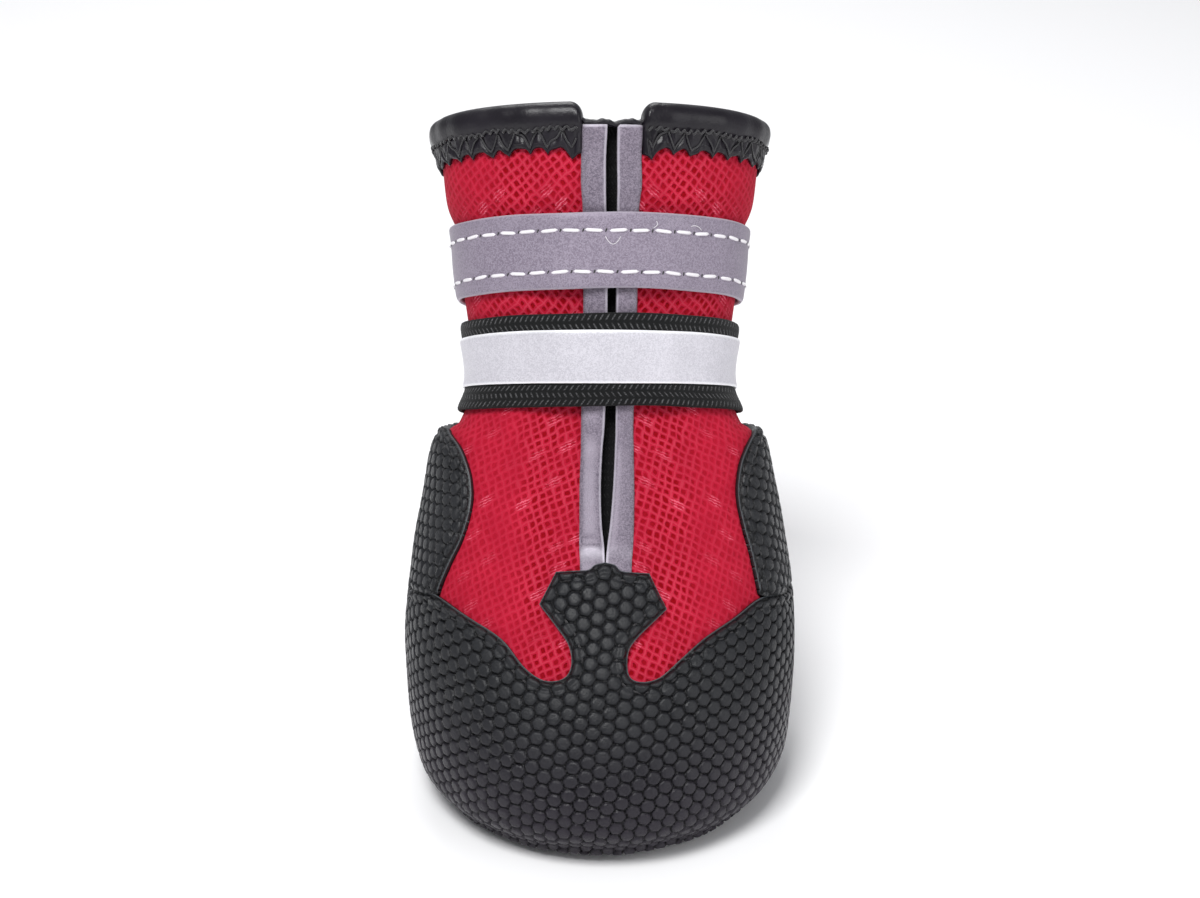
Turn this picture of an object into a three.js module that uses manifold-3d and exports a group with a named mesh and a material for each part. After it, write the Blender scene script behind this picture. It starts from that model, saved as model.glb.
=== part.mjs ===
// A dog boot for either paw: a mesh upper on a lugged rubber sole, with a toe cap, a heel counter,
// a bound collar, a gusseted slit down the front and two straps round the shaft.
// Millimetres. +X is the boot's width, -Y is the toe, +Z is up, and z = 0 is the floor under the sole.
import * as THREE from "three";
import Module from "manifold-3d";

const wasm = await Module();
wasm.setup();

// Foot, measured over the mesh of the upper
const foot_length = 88.4;
const foot_width = 76.2;
const foot_height = 69.6;
const wall = 1.8;
const fit_gap = 0.35;

// Shaft, which leans back over the heel
const shaft_length = 58.4;
const shaft_depth = 47;
const shaft_width = 66.8;
const shaft_lean = THREE.MathUtils.degToRad(20);
const shaft_ring_tilt = THREE.MathUtils.degToRad(27.5);
const shaft_foot_y = 10.2;
const shaft_rise = 6.3;
const shaft_foot_z = foot_height + shaft_rise;

// Sole
const sole_height = 3.6;
const sole_inset = 0.4;
const sole_step = 0.9;
const sole_rand = 1.1;
const lug_depth = 1.5;
const lug_pitch = 10.6;
const lug_width = 8.2;
const edge_lug_count = 20;
const edge_lug_length = 5.2;
const edge_lug_share = 0.68;
const toe_spring = 1.4;
const toe_spring_length = 22;
const toe_break = -12;
const heel_spring = 0.5;
const heel_spring_length = 8;
const heel_break = 41.6;
const arch_rise = 0.8;
const arch_middle = 16.5;
const arch_length = 20;
const insole_thickness = 1.6;

// Moulded overlays on the foot
const overlay_thickness = 1.0;
const cap_rear_foot = 8;
const cap_rear_top = 13.5;
const counter_top = 6.3;
const cap_top = 4.6;
const counter_window_depth = 28;

// Slit down the front of the shaft, its reflective edging and the gusset behind it
const slit_width = 2.0;
const slit_foot_x = 0.9;
const slit_head_x = 2.5;
const slit_foot_ring = 4.42;
const slit_taper_rings = 1.1;
const slit_head_ring = 12.84;
const edging_width = 4.9;
const edging_thickness = 1.0;
const edging_swell = 0.3;
const gusset_half_width = 4.6;
const gusset_thickness = 0.8;

// Straps, as heights along the shaft
const upper_strap_foot = 24.7;
const upper_strap_width = 15.4;
const upper_strap_thickness = 1.4;
const lower_strap_foot = 1.5;
const lower_strap_width = 18.7;
const lower_strap_thickness = 1.4;
const strap_overlap = THREE.MathUtils.degToRad(34);
const strap_end_angle = THREE.MathUtils.degToRad(196);
const strap_gap = 0.45;
const seat_flat_angle = THREE.MathUtils.degToRad(14);
const seat_foot_angle = THREE.MathUtils.degToRad(40);
const tape_width = 10.4;
const tape_foot = 6.2;
const tape_thickness = 0.45;
const tape_half_angle = THREE.MathUtils.degToRad(142);

// Collar binding
const binding_depth = 7.4;
const binding_skin = 1.1;
const binding_roll = 2.6;
const binding_bulge = 0.9;
const binding_end_gap = slit_width + 2 * (edging_width + fit_gap) + 0.4;

// Fineness of the meshes. Skins have a row of corners at each of these ring numbers.
const columns = 40;
const skin_rows = [0, 0.5, 1, 1.5, 2, 2.6, 3.2, 3.9, 4.6, 5.3, 5.9, 6.3, 7, 7.6, 8.3, 9, 10, 11, 12, 13];
const strap_columns = 46;
const sole_columns = 40;
const edge_points = 22;
const spline_step = 1e-3;

// One ring of the foot per row, from the sole's edge up. Lengths are shares of foot_length (y),
// of the height from the sole to foot_height (z) and of foot_width (half_width). middle is where the
// ring is widest, as a share of its length. nose and heel are superellipse powers.
// spring is how much of the sole's lift the ring follows.
const foot_sections = [
  { name: "feather", front_y: -0.374, front_z: 0.0, back_y: 0.555, back_z: 0.0,
    half_width: 0.435, middle: 0.47, nose: 1.98, heel: 2.3, spring: 1.0 },
  { name: "bulge", front_y: -0.407, front_z: 0.075, back_y: 0.582, back_z: 0.088,
    half_width: 0.476, middle: 0.47, nose: 2.08, heel: 2.3, spring: 0.7 },
  { name: "ball", front_y: -0.392, front_z: 0.235, back_y: 0.593, back_z: 0.235,
    half_width: 0.493, middle: 0.48, nose: 2.1, heel: 2.3, spring: 0.3 },
  { name: "toe_top", front_y: -0.304, front_z: 0.44, back_y: 0.588, back_z: 0.382,
    half_width: 0.5, middle: 0.5, nose: 2.15, heel: 2.3, spring: 0 },
  { name: "instep", front_y: -0.171, front_z: 0.65, back_y: 0.569, back_z: 0.522,
    half_width: 0.484, middle: 0.52, nose: 2.1, heel: 2.3, spring: 0 },
  { name: "vamp", front_y: -0.028, front_z: 0.852, back_y: 0.538, back_z: 0.68,
    half_width: 0.454, middle: 0.52, nose: 2.15, heel: 2.3, spring: 0 },
  { name: "shoulder", front_y: 0.072, front_z: 1.0, back_y: 0.52, back_z: 0.82,
    half_width: 0.424, middle: 0.5, nose: 2.2, heel: 2.3, spring: 0 },
];

// One ring of the shaft per row. height is a share of shaft_length, depth and drift of shaft_depth,
// half_width of shaft_width. drift is how far the ring's front stands behind the shaft's front line.
const shaft_sections = [
  { name: "ankle", height: 0.0254, depth: 0.787, half_width: 0.421, drift: 0.006 },
  { name: "lower_strap", height: 0.1525, depth: 0.777, half_width: 0.383, drift: 0.011 },
  { name: "waist", height: 0.3475, depth: 0.84, half_width: 0.405, drift: 0.0 },
  { name: "upper_strap", height: 0.5254, depth: 0.883, half_width: 0.427, drift: 0.004 },
  { name: "strap_top", height: 0.666, depth: 0.91, half_width: 0.438, drift: 0.003 },
  { name: "throat", height: 0.776, depth: 0.962, half_width: 0.472, drift: -0.008 },
  { name: "rim", height: 1.0, depth: 0.99, half_width: 0.489, drift: -0.011 },
];

// Right half of the toe cap's top edge seen from the front: x as a share of half the foot's width,
// z as a share of foot_height. It runs from the side to the tab's top.
const cap_edge = [
  { x: 1.25, z: 0.525 },
  { x: 1.0, z: 0.525 },
  { x: 0.84, z: 0.584 },
  { x: 0.67, z: 0.582 },
  { x: 0.525, z: 0.56 },
  { x: 0.4, z: 0.522 },
  { x: 0.296, z: 0.502 },
  { x: 0.21, z: 0.5 },
  { x: 0.156, z: 0.516 },
  { x: 0.143, z: 0.546 },
  { x: 0.177, z: 0.58 },
  { x: 0.325, z: 0.652 },
  { x: 0.239, z: 0.716 },
  { x: 0.115, z: 0.728 },
  { x: 0.0, z: 0.74 },
];

// Right half of the window between the counter's two wings, in the same shares
const counter_edge = [
  { x: 0.826, z: 1.3 },
  { x: 0.826, z: 0.956 },
  { x: 0.695, z: 0.886 },
  { x: 0.755, z: 0.75 },
  { x: 0.82, z: 0.63 },
  { x: 0.855, z: 0.55 },
  { x: 0.855, z: 0.3 },
];

// How far the sole curves up from the floor at a place along the foot
function sole_lift(y) {
  const toe = Math.max(0, (toe_break - y) / toe_spring_length);
  const heel = Math.max(0, (y - heel_break) / heel_spring_length);
  const arch = Math.max(0, 1 - Math.abs(y - arch_middle) / (arch_length / 2));
  return toe_spring * toe ** 2 + heel_spring * heel ** 2 + arch_rise * arch ** 2 * (3 - 2 * arch);
}

// The rings in millimetres: the foot's, then the shaft's
const up_shaft = { y: Math.sin(shaft_lean), z: Math.cos(shaft_lean) };
const across_shaft = { y: Math.cos(shaft_ring_tilt), z: -Math.sin(shaft_ring_tilt) };
const height_over_sole = foot_height - sole_height;
const rings = foot_sections.map((row) => ({
  front_y: row.front_y * foot_length,
  front_z: sole_height + row.front_z * height_over_sole,
  back_y: row.back_y * foot_length,
  back_z: sole_height + row.back_z * height_over_sole,
  half_width: row.half_width * foot_width,
  middle: row.middle,
  nose: row.nose,
  heel: row.heel,
  spring: row.spring,
}));
for (const row of shaft_sections) {
  const up = row.height * shaft_length;
  const near = row.drift * shaft_depth;
  const far = near + row.depth * shaft_depth;
  rings.push({
    front_y: shaft_foot_y + up * up_shaft.y + near * across_shaft.y,
    front_z: shaft_foot_z + up * up_shaft.z + near * across_shaft.z,
    back_y: shaft_foot_y + up * up_shaft.y + far * across_shaft.y,
    back_z: shaft_foot_z + up * up_shaft.z + far * across_shaft.z,
    half_width: row.half_width * shaft_width,
    middle: 0.5,
    nose: 2.1,
    heel: 2.3,
    spring: 0,
  });
}
const rim = rings.length - 1;
const sole_middle_y = (rings[0].front_y + rings[0].back_y) / 2;

// A Catmull-Rom spline through one column of the rings, read at ring number t
function ring_value(t, key) {
  const i = Math.min(Math.max(Math.floor(t), 0), rings.length - 2);
  const f = t - i;
  const here = rings[i][key];
  const next = rings[i + 1][key];
  const before = i > 0 ? rings[i - 1][key] : 2 * here - next;
  const after = i < rings.length - 2 ? rings[i + 2][key] : 2 * next - here;
  const linear = next - before;
  const square = 2 * before - 5 * here + 4 * next - after;
  const cube = 3 * here - before - 3 * next + after;
  return here + 0.5 * (linear * f + square * f * f + cube * f ** 3);
}

// The outer face of the upper at ring number t and angle a: 0 is the front, a quarter turn the +X side
function last_point(t, a) {
  const c = Math.cos(a);
  const s = Math.sin(a);
  const power = 2 / ring_value(t, c >= 0 ? "nose" : "heel");
  const middle = ring_value(t, "middle");
  const reach = Math.abs(c) ** power;
  const along = c >= 0 ? middle * (1 - reach) : middle + (1 - middle) * reach;
  const front_y = ring_value(t, "front_y");
  const front_z = ring_value(t, "front_z");
  const y = front_y + (ring_value(t, "back_y") - front_y) * along;
  const z = front_z + (ring_value(t, "back_z") - front_z) * along;
  const x = ring_value(t, "half_width") * Math.sign(s) * Math.abs(s) ** power;
  return new THREE.Vector3(x, y, z + ring_value(t, "spring") * sole_lift(y));
}

// The outward normal of last_point. On the lowest ring it lies flat, so the upper's lower edge does too.
function last_normal(t, a) {
  const above = last_point(t + spline_step, a);
  const below = last_point(t - spline_step, a);
  const left = last_point(t, a - spline_step);
  const right = last_point(t, a + spline_step);
  const normal = right.sub(left).cross(above.sub(below));
  if (t <= 0) normal.z = 0;
  return normal.normalize();
}

function offset_point(t, a, offset) {
  return last_point(t, a).addScaledVector(last_normal(t, a), offset);
}

// Ring number at a height along the shaft
function ring_at_height(height) {
  const share = height / shaft_length;
  const first = foot_sections.length;
  let i = 0;
  while (i < shaft_sections.length - 2 && share > shaft_sections[i + 1].height) i += 1;
  const low = shaft_sections[i].height;
  const high = shaft_sections[i + 1].height;
  return first + i + (share - low) / (high - low);
}

// Angle at which ring t passes the place x from the centre line, on the front half
function angle_at_x(t, x) {
  const share = Math.abs(x) / ring_value(t, "half_width");
  return Math.sign(x) * Math.asin(share ** (ring_value(t, "nose") / 2));
}

// A closed solid from its points and triangles, turned so that its faces point outwards
function solid_from(points, triangles) {
  let volume = 0;
  for (const [a, b, c] of triangles) {
    volume += points[a].dot(new THREE.Vector3().crossVectors(points[b], points[c])) / 6;
  }
  const facing = volume < 0 ? triangles.map(([a, b, c]) => [a, c, b]) : triangles;
  return new wasm.Manifold(new wasm.Mesh({
    numProp: 3,
    vertProperties: new Float32Array(points.flatMap((p) => [p.x, p.y, p.z])),
    triVerts: new Uint32Array(facing.flat()),
  }));
}

// A solid between two skins. place(u, v, layer) gives the point at shares u and v of the skin,
// on its inner (0) or outer (1) layer. A closed one runs round in u.
function slab(u_count, v_count, closed, place) {
  const wide = closed ? u_count : u_count + 1;
  const points = [];
  for (const layer of [0, 1]) {
    for (let j = 0; j <= v_count; j += 1) {
      for (let i = 0; i < wide; i += 1) points.push(place(i / u_count, j / v_count, layer));
    }
  }
  const index = (i, j, layer) => layer * wide * (v_count + 1) + j * wide + (i % wide);
  const triangles = [];
  const quad = (a, b, c, d) => triangles.push([a, b, c], [a, c, d]);
  for (let j = 0; j < v_count; j += 1) {
    for (let i = 0; i < u_count; i += 1) {
      quad(index(i, j, 1), index(i + 1, j, 1), index(i + 1, j + 1, 1), index(i, j + 1, 1));
      quad(index(i, j, 0), index(i, j + 1, 0), index(i + 1, j + 1, 0), index(i + 1, j, 0));
    }
    if (closed) continue;
    quad(index(0, j, 0), index(0, j, 1), index(0, j + 1, 1), index(0, j + 1, 0));
    quad(index(u_count, j, 0), index(u_count, j + 1, 0), index(u_count, j + 1, 1), index(u_count, j, 1));
  }
  for (let i = 0; i < u_count; i += 1) {
    quad(index(i, 0, 0), index(i + 1, 0, 0), index(i + 1, 0, 1), index(i, 0, 1));
    quad(index(i, v_count, 0), index(i, v_count, 1), index(i + 1, v_count, 1), index(i + 1, v_count, 0));
  }
  return solid_from(points, triangles);
}

// A solid from a stack of rings, with a point at its first and last centre
function stack(ring_points, first_centre, last_centre) {
  const count = ring_points[0].length;
  const points = [first_centre, ...ring_points.flat(), last_centre];
  const last = points.length - 1;
  const index = (k, i) => 1 + k * count + (i % count);
  const triangles = [];
  for (let i = 0; i < count; i += 1) {
    triangles.push([0, index(0, i), index(0, i + 1)]);
    triangles.push([last, index(ring_points.length - 1, i + 1), index(ring_points.length - 1, i)]);
    for (let k = 0; k < ring_points.length - 1; k += 1) {
      triangles.push([index(k, i), index(k + 1, i), index(k + 1, i + 1)]);
      triangles.push([index(k, i), index(k + 1, i + 1), index(k, i + 1)]);
    }
  }
  return solid_from(points, triangles);
}

// A prism along the boot: the outline is drawn from the front, in x and z
function front_prism(outline, near_y, far_y) {
  const shape = new THREE.Shape(outline.map((p) => new THREE.Vector2(p.x, p.z)));
  const geometry = new THREE.ExtrudeGeometry(shape, { depth: far_y - near_y, bevelEnabled: false });
  geometry.rotateX(Math.PI / 2);
  geometry.translate(0, far_y, 0);
  return solid_of(geometry);
}

// A prism across the boot: the outline is drawn from the side, in y and z
function side_prism(outline, half_width) {
  const shape = new THREE.Shape(outline.map((p) => new THREE.Vector2(p.y, p.z)));
  const geometry = new THREE.ExtrudeGeometry(shape, { depth: 2 * half_width, bevelEnabled: false });
  geometry.rotateX(Math.PI / 2);
  geometry.rotateZ(Math.PI / 2);
  geometry.translate(-half_width, 0, 0);
  return solid_of(geometry);
}

// The solid of a closed three.js geometry, whose corners are merged by their place
function solid_of(geometry) {
  const source = geometry.index ? geometry.toNonIndexed() : geometry;
  const position = source.getAttribute("position");
  const places = new Map();
  const points = [];
  const corners = [];
  for (let i = 0; i < position.count; i += 1) {
    const point = new THREE.Vector3().fromBufferAttribute(position, i);
    const key = point.toArray().map((value) => Math.round(value * 1e4)).join(" ");
    if (!places.has(key)) {
      places.set(key, points.length);
      points.push(point);
    }
    corners.push(places.get(key));
  }
  const triangles = [];
  for (let i = 0; i < corners.length; i += 3) triangles.push(corners.slice(i, i + 3));
  return solid_from(points, triangles);
}

// Both halves of an edge table, from the -X end to the +X end, as a smooth line
function mirrored(edge, count) {
  const scaled = edge.map((p) => new THREE.Vector2(p.x * foot_width / 2, p.z * foot_height));
  const half = count ? new THREE.SplineCurve(scaled).getSpacedPoints(count) : scaled;
  const left = half.map((p) => ({ x: -p.x, z: p.y }));
  const right = half.slice(0, -1).reverse().map((p) => ({ x: p.x, z: p.y }));
  return edge[edge.length - 1].x === 0 ? [...left, ...right] : [...left, ...half.reverse()
    .map((p) => ({ x: p.x, z: p.y }))];
}

// Skin all round the last, from the sole's edge up to a ring number, between two offsets
function skin(to_ring, inner, outer) {
  const rows = skin_rows.filter((t) => t <= to_ring);
  const count = rows.length - 1;
  const place = (u, v, layer) => {
    const t = rows[Math.round(v * count)];
    return offset_point(t, u * 2 * Math.PI, layer ? outer : inner);
  };
  return slab(columns, count, true, place);
}

// A strip along the slit. edges(t) gives its two sides as distances from the slit's centre line.
function slit_strip(u_count, v_count, from_ring, to_ring, edges, offset) {
  const place = (u, v, layer) => {
    const t = from_ring + (to_ring - from_ring) * v;
    const [near, far] = edges(t);
    const x = slit_x(t) + near + (far - near) * u;
    return offset_point(t, angle_at_x(t, x), offset(u, layer));
  };
  return slab(u_count, v_count, false, place);
}

// Half the slit's width, which tapers to a point at its foot
function slit_half(t) {
  const share = Math.min(Math.max((t - slit_foot_ring) / slit_taper_rings, 0), 1);
  return slit_width / 2 * (0.1 + 0.9 * share ** 0.7);
}

// The slit's centre line drifts from slit_foot_x to slit_head_x
function slit_x(t) {
  const share = (t - slit_foot_ring) / (slit_head_ring - slit_foot_ring);
  return slit_foot_x + (slit_head_x - slit_foot_x) * Math.min(Math.max(share, 0), 1) ** 0.6;
}

function make_upper() {
  const shell = skin(rim, -wall, 0);
  const reach = wall + 1;
  const above = rim + 0.3;
  const through = (u, layer) => (layer ? reach : -reach);
  const slit = slit_strip(1, 12, slit_foot_ring, above, (t) => [-slit_half(t), slit_half(t)], through);
  const notch = slit_strip(4, 1, slit_head_ring, above, () => [-binding_end_gap / 2, binding_end_gap / 2],
    through);
  return shell.subtract(slit).subtract(notch);
}

function make_outsole() {
  const ring_of = (inset, level) => sole_ring(sole_columns, inset, level);
  const top = sole_height - fit_gap;
  const tread = lug_depth;
  const edge = ring_of(sole_inset, top);
  const under = ring_of(sole_inset + sole_step, tread);
  const plate = stack([
    inner_ring(edge),
    edge,
    ring_of(sole_inset, top - sole_rand),
    ring_of(sole_inset + sole_step, top - sole_rand),
    under,
    inner_ring(under),
  ], sole_centre(top), sole_centre(tread));
  return [...edge_lugs(), ...inner_lugs()].reduce((sole, corners) => sole.add(make_lug(corners)), plate);
}

// Corners of the six-sided lugs that lie inside the edge lugs, in rows across the foot
function inner_lugs() {
  const row_step = lug_pitch * Math.sqrt(3) / 2;
  const radius = lug_width / Math.sqrt(3);
  const margin = sole_inset + sole_step + edge_lug_length + 1;
  const rows = Math.ceil(foot_length / row_step);
  const lugs = [];
  for (let row = -rows; row <= rows; row += 1) {
    for (let k = -rows; k <= rows; k += 1) {
      const x = (k + (row % 2 ? 0.5 : 0)) * lug_pitch;
      const y = row * row_step;
      const corners = Array.from({ length: 6 }, (_, i) => {
        const a = (i + 0.5) / 6 * 2 * Math.PI;
        return { x: x + radius * Math.cos(a), y: y + radius * Math.sin(a) };
      });
      if (corners.every((corner) => sole_reach(corner, margin) < 1)) lugs.push(corners);
    }
  }
  return lugs;
}

// Corners of the lugs along the sole's edge: each takes edge_lug_share of its stretch
function edge_lugs() {
  const inset = sole_inset + sole_step;
  return Array.from({ length: edge_lug_count }, (_, i) => {
    const from = (i + 0.5 - edge_lug_share / 2) / edge_lug_count * 2 * Math.PI;
    const to = (i + 0.5 + edge_lug_share / 2) / edge_lug_count * 2 * Math.PI;
    const middle = (from + to) / 2;
    return [
      sole_point(from, inset), sole_point(middle, inset), sole_point(to, inset),
      sole_point(to, inset + edge_lug_length), sole_point(from, inset + edge_lug_length),
    ];
  });
}

// How far out on the sole a place is: below 1 it lies inside the edge moved in by a margin
function sole_reach(place, margin) {
  const ring = rings[0];
  const length = ring.back_y - ring.front_y;
  const widest = ring.front_y + ring.middle * length;
  const forward = place.y < widest;
  const reach_y = (forward ? ring.middle : 1 - ring.middle) * length - margin;
  const power = forward ? ring.nose : ring.heel;
  const x_share = Math.abs(place.x) / (ring.half_width - margin);
  const y_share = Math.abs(place.y - widest) / reach_y;
  return x_share ** power + y_share ** power;
}

function make_lug(corners) {
  const at_level = (level) => corners.map((p) => new THREE.Vector3(p.x, p.y, sole_lift(p.y) + level));
  const middle = (ring) => ring.reduce((sum, p) => sum.add(p), new THREE.Vector3())
    .divideScalar(ring.length);
  const foot = at_level(0);
  const root = at_level(lug_depth + 0.5);
  return stack([foot, root], middle(foot), middle(root));
}

// A place on the sole's outline, moved in by inset
function sole_point(a, inset) {
  return last_point(0, a).addScaledVector(last_normal(0, a), -inset);
}

// A ring along the sole's outline, moved in by inset, at a level that follows the sole's lift
function sole_ring(count, inset, level) {
  return Array.from({ length: count }, (_, i) => {
    const p = sole_point(i / count * 2 * Math.PI, inset);
    return new THREE.Vector3(p.x, p.y, sole_lift(p.y) + level);
  });
}

// The same ring drawn in towards the middle of the sole
function inner_ring(ring) {
  const share = 0.6;
  return ring.map((p) => {
    const y = sole_middle_y + (p.y - sole_middle_y) * share;
    return new THREE.Vector3(p.x * share, y, p.z - sole_lift(p.y) + sole_lift(y));
  });
}

function sole_centre(level) {
  return new THREE.Vector3(0, sole_middle_y, sole_lift(sole_middle_y) + level);
}

function make_insole() {
  const inset = wall + fit_gap;
  const low = sole_ring(sole_columns, inset, sole_height);
  const high = sole_ring(sole_columns, inset, sole_height + insole_thickness);
  return stack([inner_ring(low), low, high, inner_ring(high)],
    sole_centre(sole_height), sole_centre(sole_height + insole_thickness));
}

// The region under the cap's top edge, in front of its rear edge, moved out by a margin
function cap_region(margin) {
  const floor_z = -10;
  const top = mirrored(cap_edge, edge_points).map((p) => ({ x: p.x, z: p.z + margin }));
  const side_x = top[0].x;
  const front = front_prism([{ x: side_x, z: floor_z }, ...top, { x: -side_x, z: floor_z }],
    -foot_length, foot_length / 2);
  const side = side_prism([
    { y: -foot_length, z: floor_z },
    { y: cap_rear_foot + margin, z: floor_z },
    { y: cap_rear_foot + margin, z: sole_height },
    { y: cap_rear_top + margin, z: cap_edge[0].z * foot_height },
    { y: cap_rear_top + margin, z: foot_height },
    { y: -foot_length, z: foot_height },
  ], foot_width);
  return front.intersect(side);
}

function make_toe_cap() {
  const over = skin(cap_top, fit_gap, fit_gap + overlay_thickness);
  return over.intersect(cap_region(0));
}

function make_heel_counter() {
  const over = skin(counter_top, fit_gap, fit_gap + overlay_thickness);
  const window = front_prism(mirrored(counter_edge, 0), -foot_length, counter_window_depth);
  return over.subtract(window).subtract(cap_region(fit_gap));
}

// Half-round strip along one side of the slit, +1 for the +X side
function make_edging(side) {
  const edges = (t) => [side * slit_half(t), side * (slit_half(t) + edging_width)];
  const swell = (u) => edging_swell * (Math.sin(Math.PI * u) - 1);
  return slit_strip(4, 12, slit_foot_ring, slit_head_ring, edges,
    (u, layer) => (layer ? fit_gap + edging_thickness + swell(u) : fit_gap));
}

function make_gusset() {
  const outer = -wall - fit_gap;
  const offset = (u, layer) => (layer ? outer : outer - gusset_thickness);
  return slit_strip(2, 12, slit_foot_ring - 0.3, slit_head_ring - 0.12,
    () => [-gusset_half_width, gusset_half_width], offset);
}

// Height of a strap's inner face over the shaft: it lifts over the slit's edging at the front
function strap_seat(a) {
  const over_edging = edging_thickness + 2 * strap_gap;
  const from_slit = Math.abs(a - angle_at_x(ring_at_height(upper_strap_foot), slit_head_x));
  const share = (from_slit - seat_flat_angle) / (seat_foot_angle - seat_flat_angle);
  const blend = 0.5 + 0.5 * Math.cos(Math.PI * Math.min(Math.max(share, 0), 1));
  return strap_gap + (over_edging - strap_gap) * blend;
}

// A band once round the shaft. Its end laps over its start at the back.
function make_strap(height, width, thickness, rows) {
  const turn = 2 * Math.PI + strap_overlap;
  const start = strap_end_angle - 2 * Math.PI;
  const lap = thickness + fit_gap;
  const place = (u, v, layer) => {
    const a = start - strap_overlap / 2 + turn * u;
    const into_lap = (turn * u - 2 * Math.PI + strap_overlap * 0.9) / (strap_overlap * 0.9);
    const climb = Math.min(Math.max(into_lap, 0), 1);
    const seat = strap_seat(a) + lap * climb ** 2 * (3 - 2 * climb);
    return offset_point(ring_at_height(height + width * v), a, seat + layer * thickness);
  };
  return slab(strap_columns, rows, false, place);
}

function make_tape() {
  const low = lower_strap_thickness + fit_gap;
  const place = (u, v, layer) => {
    const a = -tape_half_angle + 2 * tape_half_angle * u;
    const offset = strap_seat(a) + low + layer * tape_thickness;
    return offset_point(ring_at_height(tape_foot + tape_width * v), a, offset);
  };
  return slab(34, 2, false, place);
}

// The binding's section: offset from the shaft's face and height over its rim, going round once
function binding_profile() {
  const inner = -wall - fit_gap;
  const outer = fit_gap;
  const thin = binding_skin;
  const middle = (inner + outer) / 2;
  const swell = binding_bulge;
  return [
    { out: outer, up: -binding_depth },
    { out: outer + thin, up: -binding_depth },
    { out: outer + thin + swell * 0.7, up: -binding_depth * 0.3 },
    { out: outer + thin + swell, up: binding_roll * 0.4 },
    { out: middle + thin, up: binding_roll },
    { out: middle - thin, up: binding_roll },
    { out: inner - thin - swell, up: binding_roll * 0.4 },
    { out: inner - thin - swell * 0.7, up: -binding_depth * 0.3 },
    { out: inner - thin, up: -binding_depth },
    { out: inner, up: -binding_depth },
    { out: inner, up: fit_gap },
    { out: outer, up: fit_gap },
  ];
}

function make_collar_binding() {
  const profile = binding_profile();
  const count = 38;
  const slit_at_rim = slit_x(slit_head_ring);
  const from = angle_at_x(rim, slit_at_rim + binding_end_gap / 2);
  const to = 2 * Math.PI + angle_at_x(rim, slit_at_rim - binding_end_gap / 2);
  const points = [];
  for (let i = 0; i <= count; i += 1) {
    const a = from + (to - from) * i / count;
    const upwards = last_point(rim, a).sub(last_point(rim - spline_step, a)).normalize();
    for (const corner of profile) {
      const t = corner.up < 0 ? ring_at_height(shaft_length + corner.up) : rim;
      const lift = Math.max(corner.up, 0);
      points.push(offset_point(t, a, corner.out).addScaledVector(upwards, lift));
    }
  }
  const size = profile.length;
  const triangles = [];
  for (let i = 0; i < count; i += 1) {
    for (let k = 0; k < size; k += 1) {
      const next = (k + 1) % size;
      triangles.push([i * size + k, i * size + next, (i + 1) * size + next]);
      triangles.push([i * size + k, (i + 1) * size + next, (i + 1) * size + k]);
    }
  }
  const flat = profile.map((corner) => new THREE.Vector2(corner.out, corner.up));
  const faces = THREE.ShapeUtils.triangulateShape(flat, []);
  const turned = THREE.ShapeUtils.area(flat) > 0;
  for (const [a, b, c] of faces) {
    const last = count * size;
    triangles.push(turned ? [a, c, b] : [a, b, c]);
    triangles.push(turned ? [last + a, last + b, last + c] : [last + a, last + c, last + b]);
  }
  return solid_from(points, triangles);
}

const materials = {
  mesh_red: new THREE.MeshStandardMaterial({ color: 0xb5203c, roughness: 0.85 }),
  rubber_black: new THREE.MeshStandardMaterial({ color: 0x26262a, roughness: 0.6 }),
  webbing_black: new THREE.MeshStandardMaterial({ color: 0x18181a, roughness: 0.9 }),
  strap_grey: new THREE.MeshStandardMaterial({ color: 0x8a8290, roughness: 0.5 }),
  tape_silver: new THREE.MeshStandardMaterial({ color: 0xd2d4e0, roughness: 0.4 }),
  binding_black: new THREE.MeshStandardMaterial({ color: 0x101012, roughness: 0.3 }),
  lining_grey: new THREE.MeshStandardMaterial({ color: 0x3a3a3e, roughness: 0.9 }),
};

const boot = new THREE.Group();

function add_piece(name, solid, material) {
  const mesh = solid.getMesh();
  const geometry = new THREE.BufferGeometry();
  geometry.setAttribute("position", new THREE.BufferAttribute(mesh.vertProperties, mesh.numProp));
  geometry.setIndex(new THREE.BufferAttribute(mesh.triVerts, 1));
  geometry.computeVertexNormals();
  const piece = new THREE.Mesh(geometry, material);
  piece.name = name;
  boot.add(piece);
}

add_piece("outsole", make_outsole(), materials.rubber_black);
add_piece("insole", make_insole(), materials.lining_grey);
add_piece("upper", make_upper(), materials.mesh_red);
add_piece("gusset", make_gusset(), materials.webbing_black);
add_piece("toe_cap", make_toe_cap(), materials.rubber_black);
add_piece("heel_counter", make_heel_counter(), materials.rubber_black);
add_piece("slit_edging_left", make_edging(-1), materials.strap_grey);
add_piece("slit_edging_right", make_edging(1), materials.strap_grey);
add_piece("collar_binding", make_collar_binding(), materials.binding_black);
add_piece("upper_strap", make_strap(upper_strap_foot, upper_strap_width, upper_strap_thickness, 2),
  materials.strap_grey);
add_piece("lower_strap", make_strap(lower_strap_foot, lower_strap_width, lower_strap_thickness, 3),
  materials.webbing_black);
add_piece("reflective_tape", make_tape(), materials.tape_silver);

export default boot;
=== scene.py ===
# %% [markdown]
# # Dressing a dog boot
# The boot is already drawn as plain solids: a mesh upper, a toe cap, a heel counter, a sole, a bound
# collar and two straps. Here each of them gets the surface that the real one shows. All shapes are
# worked out with numpy, as functions of two parameters on a grid, and put into meshes in one go. They
# could be modelled by hand as well, but here one number changes a shape, and the pieces fit each
# other because they all lie over the same last.

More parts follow.
